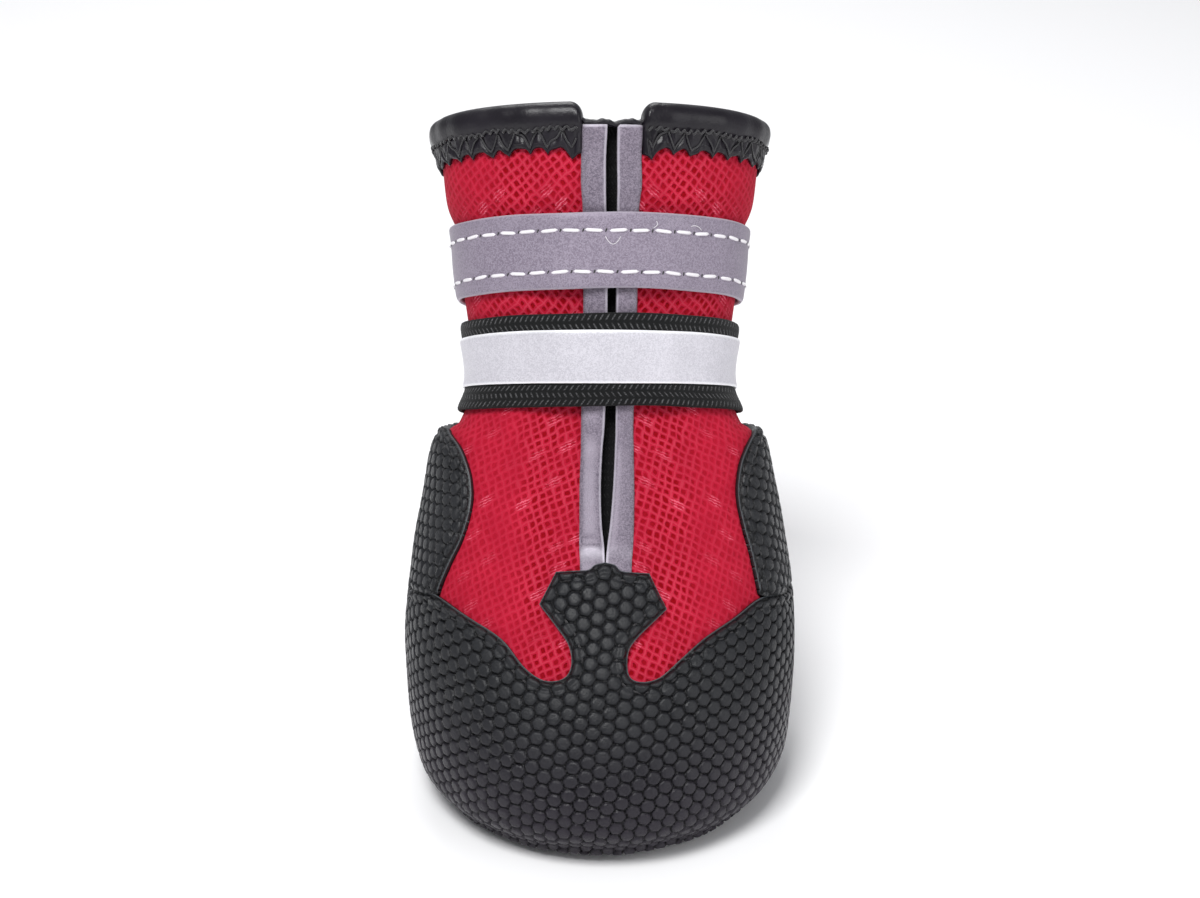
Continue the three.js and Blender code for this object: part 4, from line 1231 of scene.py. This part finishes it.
# %% Gusset
def gusset_panel():
    """The panel behind the slit as a slab, with a rolled hem along its top."""
    rows, columns = 90, 14
    t = np.linspace(SLIT_FOOT - 0.3, SLIT_HEAD + 0.07, rows)[:, None] * np.ones(columns)
    u = np.linspace(-1, 1, columns) * np.ones((rows, 1))
    a = angle_at_x(t, 1.4 + 1.0 * smooth((t - 5) / 3) + 4.6 * u)
    hem = np.exp(-((t - SLIT_HEAD + 0.01) / 0.09) ** 2)
    outer = over_last(t, a, -WALL - GAP + 0.5 * hem - 0.35 * (1 - u ** 2))
    inner = over_last(t, a, -WALL - GAP - 0.8 - 0.3 * hem - 0.35 * (1 - u ** 2))
    uv = np.stack([u * 4.6, t * 7.0], axis=-1).reshape(-1, 2)
    points, faces = slab(outer, inner)
    return points, faces, np.tile(uv, (2, 1))


points, faces, uv = gusset_panel()
gusset = make_piece("gusset_cloth", points, faces, GUSSET_BLACK, uv)
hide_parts("gusset")

# %% [markdown]
# ## Straps
# Each strap goes once round the shaft and laps over its own start at the back, where hook and loop
# hold it. It lies close to the mesh at the sides and lifts over the two strips at the front. A flat
# band on a Curve modifier could go round as well, but it would stand off by the same height
# everywhere. Here that height is a function of the angle.

# %% Straps
OVERLAP = np.radians(34)
STRAP_END = np.radians(196)
STRAP_GAP = 0.45
STRAP_ANGLES = np.linspace(STRAP_END - 2 * np.pi - OVERLAP / 2, STRAP_END + OVERLAP / 2, 320)
# Height of a band's lower edge up the shaft, its width and its thickness
UPPER_AT, UPPER_WIDTH, UPPER_THICK = 24.7, 15.4, 1.3
LOWER_AT, LOWER_WIDTH, LOWER_THICK = 1.5, 18.7, 1.4
TAPE_AT, TAPE_WIDTH, TAPE_THICK = 6.7, 10.4, 0.55


def strap_seat(a):
    """Height of a strap's inner face: level over the slit, falling by a cosine to the sides."""
    middle = angle_at_x(ring_at_height(UPPER_AT), SLIT_MIDDLE)
    turn = np.mod(a - middle + np.pi, 2 * np.pi) - np.pi
    share = np.clip((np.abs(turn) - np.radians(14)) / np.radians(26), 0, 1)
    return STRAP_GAP + (1.0 + STRAP_GAP) * (0.5 + 0.5 * np.cos(np.pi * share))


def climb(a, thickness):
    """How far the lap's end is lifted by the band's own start, at each angle."""
    return (thickness + GAP) * smooth((a - STRAP_ANGLES[0] - 2 * np.pi) / OVERLAP + 0.9)


def sag(a):
    """How far a band's middle stands out or in, as a slow sine round the shaft."""
    return 0.12 * np.sin(a * 2.3 + 1)


def across_band(rows, columns):
    """Share of the way across a band, from 0 to 1: half of 1 less a cosine, so that the rows stand
    closer towards both edges."""
    return (0.5 - 0.5 * np.cos(np.linspace(0, np.pi, rows)))[:, None] * np.ones(columns)


def band(height, width, thickness, wave):
    """A band as a slab with rounded edges. The lap climbs over the band's start. The edges wave a
    little up and down, and the number edge is 1 along them."""
    rows, columns = 20, len(STRAP_ANGLES)
    v = across_band(rows, columns)
    a = STRAP_ANGLES * np.ones((rows, 1))
    seat = strap_seat(a) + climb(a, thickness)
    drift = wave * (np.sin(a * 3.1 + 0.4) + 0.6 * np.sin(a * 7.3))
    t = ring_at_height(height + width * v + drift)
    edge = np.abs(2 * v - 1)
    round_off = 0.5 * thickness * (1 - np.sqrt(np.maximum(0, 1 - edge ** 14)))
    outer = over_last(t, a, seat + thickness - round_off + sag(a) * (1 - edge ** 2))
    inner = over_last(t, a, seat + round_off)
    line = outer[rows // 2]
    length = distance_along(line)
    middle = np.interp(0.0, a[0], length)
    uv = np.stack([(length - middle) * np.ones((rows, 1)), v * width], axis=-1).reshape(-1, 2)
    values = {"edge": np.tile(smooth((edge - 0.955) / 0.02).ravel(), 2)}
    points, faces = slab(outer, inner)
    return points, faces, np.tile(uv, (2, 1)), values


points, faces, uv, values = band(UPPER_AT, UPPER_WIDTH, UPPER_THICK, 0.12)
upper_strap = make_piece("grey_strap", points, faces, STRAP_GREY, uv, values, merge=0.001)
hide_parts("upper_strap")
points, faces, uv, values = band(LOWER_AT, LOWER_WIDTH, LOWER_THICK, 0.1)
lower_strap = make_piece("elastic_strap", points, faces, STRAP_BLACK, uv, values, merge=0.001)
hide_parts("lower_strap")


# %% Reflective tape
def tape_strip():
    """The tape on the lower strap as a slab, over the front and the sides."""
    rows, columns = 14, 220
    a = np.linspace(np.radians(-142), np.radians(142), columns) * np.ones((rows, 1))
    v = across_band(rows, columns)
    t = ring_at_height(TAPE_AT + TAPE_WIDTH * v)
    edge = np.abs(2 * v - 1)
    seat = strap_seat(a) + LOWER_THICK + sag(a) * (1 - edge ** 2)
    outer = over_last(t, a, seat + TAPE_THICK - 0.2 * edge ** 10)
    inner = over_last(t, a, seat - 0.05)
    line = outer[rows // 2 - 1]
    length = distance_along(line)
    uv = np.stack([length * np.ones((rows, 1)), v * TAPE_WIDTH], axis=-1).reshape(-1, 2)
    values = {"edge": np.tile(smooth((edge - 0.95) / 0.03).ravel(), 2)}
    points, faces = slab(outer, inner)
    return points, faces, np.tile(uv, (2, 1)), values


points, faces, uv, values = tape_strip()
tape = make_piece("silver_tape", points, faces, TAPE_SILVER, uv, values)
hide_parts("reflective_tape")

# %% [markdown]
# ## Collar binding
# A strip of glossy coated cloth is folded over the rim and sewn down with a zigzag. The fold is a
# smooth roll. Under it the stitches pull the cloth into short upright wrinkles and scallop its edge.
# A bevelled curve would give the roll alone. When a section is carried round the rim as a grid, each
# of its points can move in and out with the stitches.

# %% Binding
ZIGZAG = 4.2
SEAM_TOP = -2.3
SEAM_FOOT = -5.7
# Height over the rim's surface and height up the shaft from the rim, round the binding's section
BINDING_SECTION = np.array([
    [0.1, -6.0], [0.5, -6.4], [0.95, -6.1], [1.1, -5.5], [1.25, -4.6], [1.3, -3.6], [1.35, -2.7],
    [1.55, -2.1], [2.0, -1.3], [2.25, -0.4], [2.3, 0.7], [1.95, 1.9], [1.1, 2.75], [0.0, 3.1],
    [-0.9, 3.05], [-2.0, 2.75], [-3.0, 2.0], [-3.6, 0.8], [-3.7, -0.6], [-3.3, -1.9], [-3.0, -3.2],
    [-3.0, -5.0], [-2.9, -7.0], [-2.7, -7.6], [-2.4, -7.6], [-2.2, -7.2], [-2.15, -4.0],
    [-2.15, 0.2], [-0.9, 0.45], [0.12, 0.2], [0.1, -3.4], [0.1, -6.0],
])


def swing_of(s):
    """Where the zigzag thread stands at a distance along the rim: 0 at the roll, 1 at the lower
    edge. A triangle wave whose steps are a little uneven."""
    uneven = s + 0.35 * np.sin(s * 0.83) + 0.25 * np.sin(s * 1.9 + 2)
    return np.arccos(np.cos(2 * np.pi * uneven / ZIGZAG)) / np.pi


def puffs(s, v):
    """Relief of the sewn band: a groove along the thread, and the cloth puffed up between."""
    away = np.abs(v - swing_of(s)) * (SEAM_TOP - SEAM_FOOT) / np.hypot(1, 2.2)
    wrinkles = 0.05 * np.sin(s * 3.3 + 2 * v) + 0.02 * np.sin(s * 5.9 - 4 * v)
    return 0.5 * (1 - np.exp(-(away / 0.5) ** 2)) - 0.25 + wrinkles


def binding():
    """The binding's section swept round the rim. Below the roll it has the puffs of the seam, its
    lower edge is scalloped between the stitches, and its two ends turn down and close."""
    count = 640
    from_a = angle_at_x(float(RIM), SLIT_MIDDLE + BINDING_NOTCH / 2 - 0.2)
    to_a = 2 * np.pi + angle_at_x(float(RIM), SLIT_MIDDLE - BINDING_NOTCH / 2 + 0.2)
    share = np.linspace(-1, 1, count)
    a = from_a + (to_a - from_a) * (0.5 + 0.5 * share * (1.12 - 0.12 * share ** 8))
    a = np.clip(a, from_a, to_a)
    rim_line = over_last(np.full(count, float(RIM)), a, 0.0)
    s = distance_along(rim_line)
    end = np.minimum(s, s[-1] - s)[:, None]
    profile = through_points(BINDING_SECTION, 3)[:-1]
    out = profile[:, 0] * np.ones((count, 1))
    up = profile[:, 1] * np.ones((count, 1))
    s_grid = s[:, None] * np.ones_like(up)
    outside = smooth((out - 0.3) / 0.4)
    low = smooth((SEAM_TOP + 0.3 - up) / 0.6)
    v = np.clip((SEAM_TOP - up) / (SEAM_TOP - SEAM_FOOT), 0, 1.1)
    out = out + outside * low * puffs(s_grid, v) * smooth(end / 1.5)
    scallop = 0.95 - 1.3 * swing_of(s_grid) ** 2
    longer = 1.3 * (1 - smooth((end - 1) / 4))
    up = up + smooth((-up - 4.4) / 1.4) * (out > -1) * (scallop - longer)
    roll = (1 - low) * (0.14 * np.sin(s_grid * 0.45) + 0.08 * np.sin(s_grid * 1.2 + 1))
    out = out + roll * np.sign(out + 0.9) * smooth((np.abs(out + 0.9) - 1.0) / 1.0)
    close = np.sqrt(np.clip(1 - (1 - np.clip(end / 2.6, 0, 1)) ** 2, 0, 1))
    up = np.where(up > -2.2, -2.2 + (up + 2.2) * (0.42 + 0.58 * close), up)
    tight = np.sqrt(np.clip(1 - (1 - np.clip(end / 1.1, 0, 1)) ** 2, 0, 1))
    out = -0.9 + (out + 0.9) * (0.45 + 0.55 * tight)
    t = np.where(up < 0, ring_at_height(SHAFT_LENGTH + np.minimum(up, 0)), float(RIM))
    rim = np.full(count, float(RIM))
    upwards = unit(last_point(rim, a) - last_point(rim - 0.01, a))
    points = over_last(t, a[:, None], out) + upwards[:, None, :] * np.maximum(up, 0)[..., None]
    across = distance_along(profile)
    uv = np.stack([s_grid, across * np.ones_like(up)], axis=-1)
    return points, uv, s, a


rings, uv, binding_s, binding_a = binding()
points, faces = tube(rings)
pad_uv = np.concatenate([uv[:1], uv, uv[-1:]]).reshape(-1, 2)
collar = make_piece("collar_roll", points, faces, GLOSSY, pad_uv, merge=0.001)
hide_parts("collar_binding")


# %% Piping over the slit
def piping():
    """A thin wavy roll that joins the binding's two ends over the top of the slit."""
    half = BINDING_NOTCH / 2
    x = np.linspace(SLIT_MIDDLE - half - 0.6, SLIT_MIDDLE + half + 0.6, 90)
    dip = np.exp(-((x - 2.6) / 1.1) ** 2)
    wave = 0.2 * np.sin(x * 1.3) + 0.08 * np.sin(x * 3.1 + 1)
    t = SLIT_HEAD + 0.085 + 0.05 * wave - 0.03 * dip
    t = t + 0.05 * smooth((np.abs(x - SLIT_MIDDLE) - 5.2) / 1.4)
    turn = np.linspace(0, 2 * np.pi, 17)[:-1]
    knot = 1 + 0.08 * np.sin(x * 4.1)
    out = -0.35 + 1.55 * np.cos(turn)
    ring_t = t[:, None] + 0.05 * knot[:, None] * np.sin(turn)
    return tube(over_last(ring_t, angle_at_x(ring_t, x[:, None]), out))


points, faces = piping()
pipe = make_piece("slit_piping", points, faces, GLOSSY, merge=0.001)

# %% [markdown]
# ## Threads
# A stitch is a short round thread that dips into the cloth at both ends. All the stitches of a seam
# are made at once from arrays of their starts and ends. The zigzag on the collar is one long thread.
# An Array modifier would space the stitches too, but each exactly like the next, and it is the
# slight waver between them that looks sewn.

# %% Stitches
def stitch_run(start, end, normal, radius, arch):
    """Short threads from start to end, raised by a sine along the normal, thin at both ends."""
    s = np.linspace(0, 1, 7)
    turn = np.linspace(0, 2 * np.pi, 7)[:-1]
    middle = start[:, None] + (end - start)[:, None] * s[None, :, None]
    middle = middle + normal[:, None] * (arch * np.sin(np.pi * s) - 0.12)[None, :, None]
    thick = radius * (1 - np.abs(2 * s - 1) ** 5) ** 0.5
    side = unit(np.cross(end - start, normal))
    ring = side[:, None, None] * np.cos(turn)[None, None, :, None]
    ring = ring + normal[:, None, None] * np.sin(turn)[None, None, :, None]
    points = middle[:, :, None] + ring * thick[None, :, None, None]
    count, steps, sides = points.shape[:3]
    face = grid_faces(steps, sides, closed=True)[:, ::-1]
    starts = np.arange(count)[:, None, None] * steps * sides
    return points.reshape(-1, 3), (face[None] + starts).reshape(-1, 4)


def long_thread(path, normal, radius):
    """One thread along a path: rings of six points across it."""
    along = unit(np.gradient(path, axis=0))
    side = unit(np.cross(along, normal))
    up = np.cross(side, along)
    turn = np.linspace(0, 2 * np.pi, 7)[:-1]
    ring = side[:, None] * np.cos(turn)[None, :, None] + up[:, None] * np.sin(turn)[None, :, None]
    return tube(path[:, None] + ring * radius)


def on_line(line, length, place):
    """Points at given distances along a line whose points have the given lengths."""
    return np.stack([np.interp(place, length, line[:, k]) for k in range(3)], axis=-1)


# %% White stitches on the grey strap
def strap_stitches():
    """Two rows of stitches round the grey strap, at even steps of its length, and between them the
    dark slanted marks where the needle went in."""
    white, dark = [], []
    for height in (UPPER_AT + 3.3, UPPER_AT + 11.5):
        t = np.full(len(STRAP_ANGLES), ring_at_height(height))
        seat = strap_seat(STRAP_ANGLES) + climb(STRAP_ANGLES, UPPER_THICK) + UPPER_THICK
        line = over_last(t, STRAP_ANGLES, seat + sag(STRAP_ANGLES))
        length = distance_along(line)
        first = np.arange(1.5, length[-1] - 5, 4.6)
        stagger = 0.12 * np.sin(np.arange(len(first)) * 2.4)
        normal = last_normal(t[:len(first)], np.interp(first + 2, length, STRAP_ANGLES))
        tilt = np.array([0, 0, 0.18]) * np.sin(np.arange(len(first)) * 1.7)[:, None]
        start = on_line(line, length, first + stagger) - tilt
        end = on_line(line, length, first + 4.0 + stagger) + tilt
        white.append(stitch_run(start, end, normal, 0.36, 0.26))
        gap = on_line(line, length, first + 4.32 + stagger)
        lean = on_line(line, length, first + 4.6) - on_line(line, length, first + 4.0)
        rise = np.array([0, 0, 0.62])
        foot = gap - lean * 0.25 - rise
        head = gap + lean * 0.35 + rise * 0.7
        dark.append(stitch_run(foot, head, normal, 0.17, 0.12))
    return joined(white), joined(dark)


white_run, dark_run = strap_stitches()
white = make_piece("strap_stitches", *white_run, WHITE_THREAD, merge=0.001)
marks = make_piece("strap_needle_marks", *dark_run, BLACK_THREAD, merge=0.001)


# %% Loose hairs on the grey strap
def loose_hairs():
    """A few fine threads that came loose: short arcs lying on the strap."""
    hairs = []
    for x, up, run, bend, turn in ((2.4, 10.2, 2.8, -1.5, 0.0), (10.0, 12.9, 1.6, -0.4, 1.2),
                                   (18.0, 12.6, 2.2, 0.5, -0.3)):
        share = np.linspace(0, 1, 16)
        along = (share - 0.5) * run
        aside = bend * (1 - (2 * share - 1) ** 2)
        px = x + along * np.cos(turn) - aside * np.sin(turn)
        t = ring_at_height(UPPER_AT + up + along * np.sin(turn) + aside * np.cos(turn))
        a = angle_at_x(t, px)
        path = over_last(t, a, strap_seat(a) + UPPER_THICK + 0.2)
        hairs.append(long_thread(path, last_normal(t, a), 0.055))
    return joined(hairs)


points, faces = loose_hairs()
hairs = make_piece("loose_hairs", points, faces, WHITE_THREAD, merge=0.0005)


# %% Threads on the binding
def zigzag_thread():
    """The thread that swings between the roll and the lower edge as it goes along the rim."""
    s = np.arange(1.2, binding_s[-1] - 1.2, 0.12)
    a = np.interp(s, binding_s, binding_a)
    v = swing_of(s)
    up = SEAM_TOP + (SEAM_FOOT - SEAM_TOP) * v * 0.96
    t = ring_at_height(SHAFT_LENGTH + up)
    offset = np.interp(up, [-6.1, -5.5, -4.6, -3.6, -2.7], [1.0, 1.1, 1.25, 1.3, 1.4])
    return long_thread(over_last(t, a, offset - 0.08), last_normal(t, a), 0.17)


def seam_thread():
    """The lumpy chain of stitches at the foot of the roll: small uneven loops along the rim."""
    s = np.arange(1.0, binding_s[-1] - 1.0, 0.09)
    a = np.interp(s, binding_s, binding_a)
    loop = 2 * np.pi * (s + 0.2 * np.sin(s * 0.7)) / 1.5
    up = SEAM_TOP + 0.12 + 0.3 * np.sin(loop) + 0.22 * np.sin(s * 0.55)
    offset = 1.72 + 0.25 * np.cos(loop) + 0.1 * np.sin(s * 2.3)
    t = ring_at_height(SHAFT_LENGTH + up)
    return long_thread(over_last(t, a, offset), last_normal(t, a), 0.24)


points, faces = joined([zigzag_thread(), seam_thread()])
zigzag = make_piece("binding_threads", points, faces, BLACK_THREAD, merge=0.001)


# %% Stitches along the cap's and the counter's cut edges
def edge_stitches(chart, outline, closed):
    """Stitches along the seam inside an outline, laid out in the flat chart and put back on the
    last. closed is the sheet's whole outline in the chart. Places that come nearer to another of its
    sides are left out."""
    border = chart_at(chart, outline[:, 0], outline[:, 1])
    length = distance_along(border)
    place = np.arange(0, length[-1], 0.25)
    line = np.stack([np.interp(place, length, border[:, k]) for k in (0, 1)], axis=-1)
    guess = np.stack([np.interp(place, length, outline[:, k]) for k in (0, 1)], axis=-1)
    along = np.gradient(line, axis=0)
    along = along / np.maximum(np.hypot(*along.T), 1e-9)[:, None]
    inward = np.stack([-along[:, 1], along[:, 0]], axis=-1)
    reach = inside_distance(line + 0.5 * inward, closed)[0]
    inward = np.where((reach > 0)[:, None], inward, -inward)
    waver = 0.12 * np.sin(place * 0.9) + 0.1 * np.sin(place * 2.3)
    moved = line + (SEAM + waver)[:, None] * inward
    clear = inside_distance(moved, closed)[0] > SEAM - 0.3
    moved, guess = moved[clear], guess[clear]
    t, a = on_last(chart, moved, guess[:, 0], guess[:, 1])
    seam = over_last(t, a, GAP + SHEET - 0.02)
    normal = last_normal(t, a)
    run = distance_along(seam)
    first = np.arange(0.3, run[-1] - 2.4, 2.7)
    start = on_line(seam, run, first)
    end = on_line(seam, run, first + 2.1)
    up = unit(on_line(normal, run, first + 1.0))
    fair = np.linalg.norm(end - start, axis=1) > 1.6
    return stitch_run(start[fair], end[fair], up[fair], 0.21, 0.34)


def cut_stitches():
    """The stitches of both moulded sheets as one mesh."""
    closed = chart_at(CAP_CHART, CAP_OUTLINE[:, 0], CAP_OUTLINE[:, 1])
    cap_run = edge_stitches(CAP_CHART, CAP_OUTLINE[CAP_OUTLINE[:, 0] > 0.8], closed)
    line, free = counter_outline()
    closed = chart_at(HEEL_CHART, line[:, 0], line[:, 1])
    return joined([cap_run, edge_stitches(HEEL_CHART, line[free], closed)])


points, faces = cut_stitches()
stitched = make_piece("edge_stitches", points, faces, BLACK_THREAD, merge=0.001)

# %% [markdown]
# ## Sole and insole
# The sole is a plate with a step round its side and lugs underneath: six-sided ones inside and a
# ring of blocks along the edge. Each lug is a stack of three rings, so its foot has a small bevel. A
# Bevel modifier would round every edge for many more faces, and the photo shows little of the tread.
# The insole is a soft dished board inside.

# %% Outsole
SOLE_MIDDLE = (RINGS[0, 0] + RINGS[0, 2]) / 2
EDGE_LUGS = 20
EDGE_LUG_LENGTH = 5.2
LUG_PITCH = 10.6
LUG_WIDTH = 8.2


def sole_edge(a, inset):
    """The sole's outline moved in by an inset, level."""
    zero = np.zeros_like(a)
    level = unit(last_normal(zero, a) * [1, 1, 0])
    return last_point(zero, a) - level * inset


def sole_plate():
    """Rings from the top's middle out over the rand, down the step and in under the plate."""
    a = np.linspace(0, 2 * np.pi, 241)[:-1]
    # Inset from the outline, level and share of the way out from the middle
    sections = [(0.4, 3.25, 0.5), (0.4, 3.25, 0.97), (0.4, 3.25, 1.0), (0.3, 3.1, 1.0), (0.3, 2.3, 1.0),
                (0.4, 2.16, 1.0), (1.2, 2.12, 1.0), (1.3, 2.0, 1.0), (1.35, 1.6, 1.0),
                (1.6, 1.5, 1.0), (1.6, 1.5, 0.97), (1.6, 1.5, 0.5)]
    rings = []
    for inset, level, share in sections:
        edge = sole_edge(a, inset)
        x = edge[:, 0] * share
        y = SOLE_MIDDLE + (edge[:, 1] - SOLE_MIDDLE) * share
        rings.append(np.stack([x, y, sole_lift(y) + level], axis=-1))
    return tube(np.array(rings))


def sole_reach(x, y, margin):
    """Below 1 inside the sole's outline moved in by a margin: the superellipse sum."""
    ring = RINGS[0]
    length = ring[2] - ring[0]
    widest = ring[0] + ring[5] * length
    forward = y < widest
    reach_y = np.where(forward, ring[5], 1 - ring[5]) * length - margin
    power = np.where(forward, ring[6], ring[7])
    return (np.abs(x) / (ring[4] - margin)) ** power + (np.abs(y - widest) / reach_y) ** power


def lug_blocks(corners):
    """Lugs from their corners in x and y, each a foot with a bevel, a flank and a wider root."""
    middle = corners.mean(axis=1, keepdims=True)
    rings = []
    for share, level in [(0.9, 0.0), (1.0, 0.22), (1.06, 1.7)]:
        place = middle + (corners - middle) * share
        rings.append(np.concatenate([place, (sole_lift(place[..., 1]) + level)[..., None]], axis=-1))
    return joined([tube(lug) for lug in np.stack(rings, axis=1)])


def inner_lugs():
    """Corners of the six-sided lugs, in rows across the sole, where they clear the edge lugs."""
    row, place = np.meshgrid(np.arange(-10, 11), np.arange(-10, 11), indexing="ij")
    x = (place + np.where(row % 2 == 1, 0.5, 0.0)) * LUG_PITCH
    y = row * (LUG_PITCH * np.sqrt(3) / 2)
    a = (np.arange(6) + 0.5) / 6 * 2 * np.pi
    radius = LUG_WIDTH / np.sqrt(3)
    corners = np.stack([x[..., None] + radius * np.cos(a), y[..., None] + radius * np.sin(a)], axis=-1)
    corners = corners.reshape(-1, 6, 2)
    fits = (sole_reach(corners[..., 0], corners[..., 1], 7.5) < 1).all(axis=1)
    return corners[fits]


def edge_lugs():
    """Corners of the blocks along the edge, each with five points on both long sides."""
    share = np.linspace(-0.34, 0.34, 5)[None, :]
    a = (np.arange(EDGE_LUGS)[:, None] + 0.5 + share) / EDGE_LUGS * 2 * np.pi
    outer = sole_edge(a, 1.35)[..., :2]
    inner = sole_edge(a, 1.3 + EDGE_LUG_LENGTH)[..., :2]
    return np.concatenate([outer, inner[:, ::-1]], axis=1)


points, faces = joined([sole_plate(), lug_blocks(inner_lugs()), lug_blocks(edge_lugs())])
# crown is 1 everywhere, so the sole gets no painted groove shade.
values = {"cut": np.zeros(len(points)), "crown": np.ones(len(points))}
sole = make_piece("lugged_sole", points, faces, SOLE_RUBBER, values=values, merge=0.001)
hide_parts("outsole")


# %% Insole
def insole_pad():
    """A soft board inside the upper, slightly dished: rings from its middle out and back."""
    a = np.linspace(0, 2 * np.pi, 161)[:-1]
    # Level and share of the way out from the middle
    sections = [(5.0, 0.02), (5.0, 0.5), (5.1, 0.9), (5.15, 0.98), (4.9, 1.0), (3.9, 1.0),
                (3.6, 0.98), (3.6, 0.5)]
    edge = sole_edge(a, WALL + 0.35)
    rings = []
    for level, share in sections:
        y = SOLE_MIDDLE + (edge[:, 1] - SOLE_MIDDLE) * share
        rings.append(np.stack([edge[:, 0] * share, y, sole_lift(y) + level], axis=-1))
    return tube(np.array(rings))


points, faces = insole_pad()
insole = make_piece("insole_pad", points, faces, LINING, points[:, :2], merge=0.001)
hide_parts("insole")

# %% [markdown]
# ## Floor and light
# The boot stands on a pale floor. A broad soft light hangs over the front, a weaker one stands on the
# right and another behind, and a pale sky fills the shadows. Small lamps would be brighter on the
# gloss, but they throw hard shadows, and the photo was lit softly.

# %% Floor and lights
def add_light(name, place, aim, size, power):
    """A square area light at a place, turned to aim."""
    data = bpy.data.lights.new(name, "AREA")
    data.size = size
    data.energy = power
    light = bpy.data.objects.new(name, data)
    light.location = place
    light.rotation_euler = (Vector(aim) - Vector(place)).to_track_quat("-Z", "Y").to_euler()
    bpy.context.scene.collection.objects.link(light)


def make_floor():
    """A wide pale square under the boot."""
    mesh = bpy.data.meshes.new("floor")
    half = 3.0
    corners = [(-half, -half, 0), (half, -half, 0), (half, half, 0), (-half, half, 0)]
    mesh.from_pydata(corners, [], [(0, 1, 2, 3)])
    material, _, shader = new_material("pale_floor", Roughness=0.7, Specular_IOR_Level=0.2)
    shader.inputs["Base Color"].default_value = (0.98, 0.98, 0.985, 1)
    mesh.materials.append(material)
    floor = bpy.data.objects.new("floor", mesh)
    bpy.context.scene.collection.objects.link(floor)
    return floor


make_floor()
middle = (0.0, 0.02, 0.06)
add_light("key", (-0.22, -0.5, 1.0), middle, 0.42, 10.5)
add_light("fill", (0.8, -0.5, 0.4), middle, 0.6, 2.4)
add_light("back", (-0.1, 0.8, 0.8), middle, 0.5, 3.8)
world = bpy.data.worlds.new("studio")
world.use_nodes = True
world.node_tree.nodes["Background"].inputs[0].default_value = (0.95, 0.96, 1.0, 1)
world.node_tree.nodes["Background"].inputs[1].default_value = 0.36
bpy.context.scene.world = world
bpy.context.scene.view_settings.view_transform = "Standard"
print("lights:", [light.name for light in bpy.data.lights])
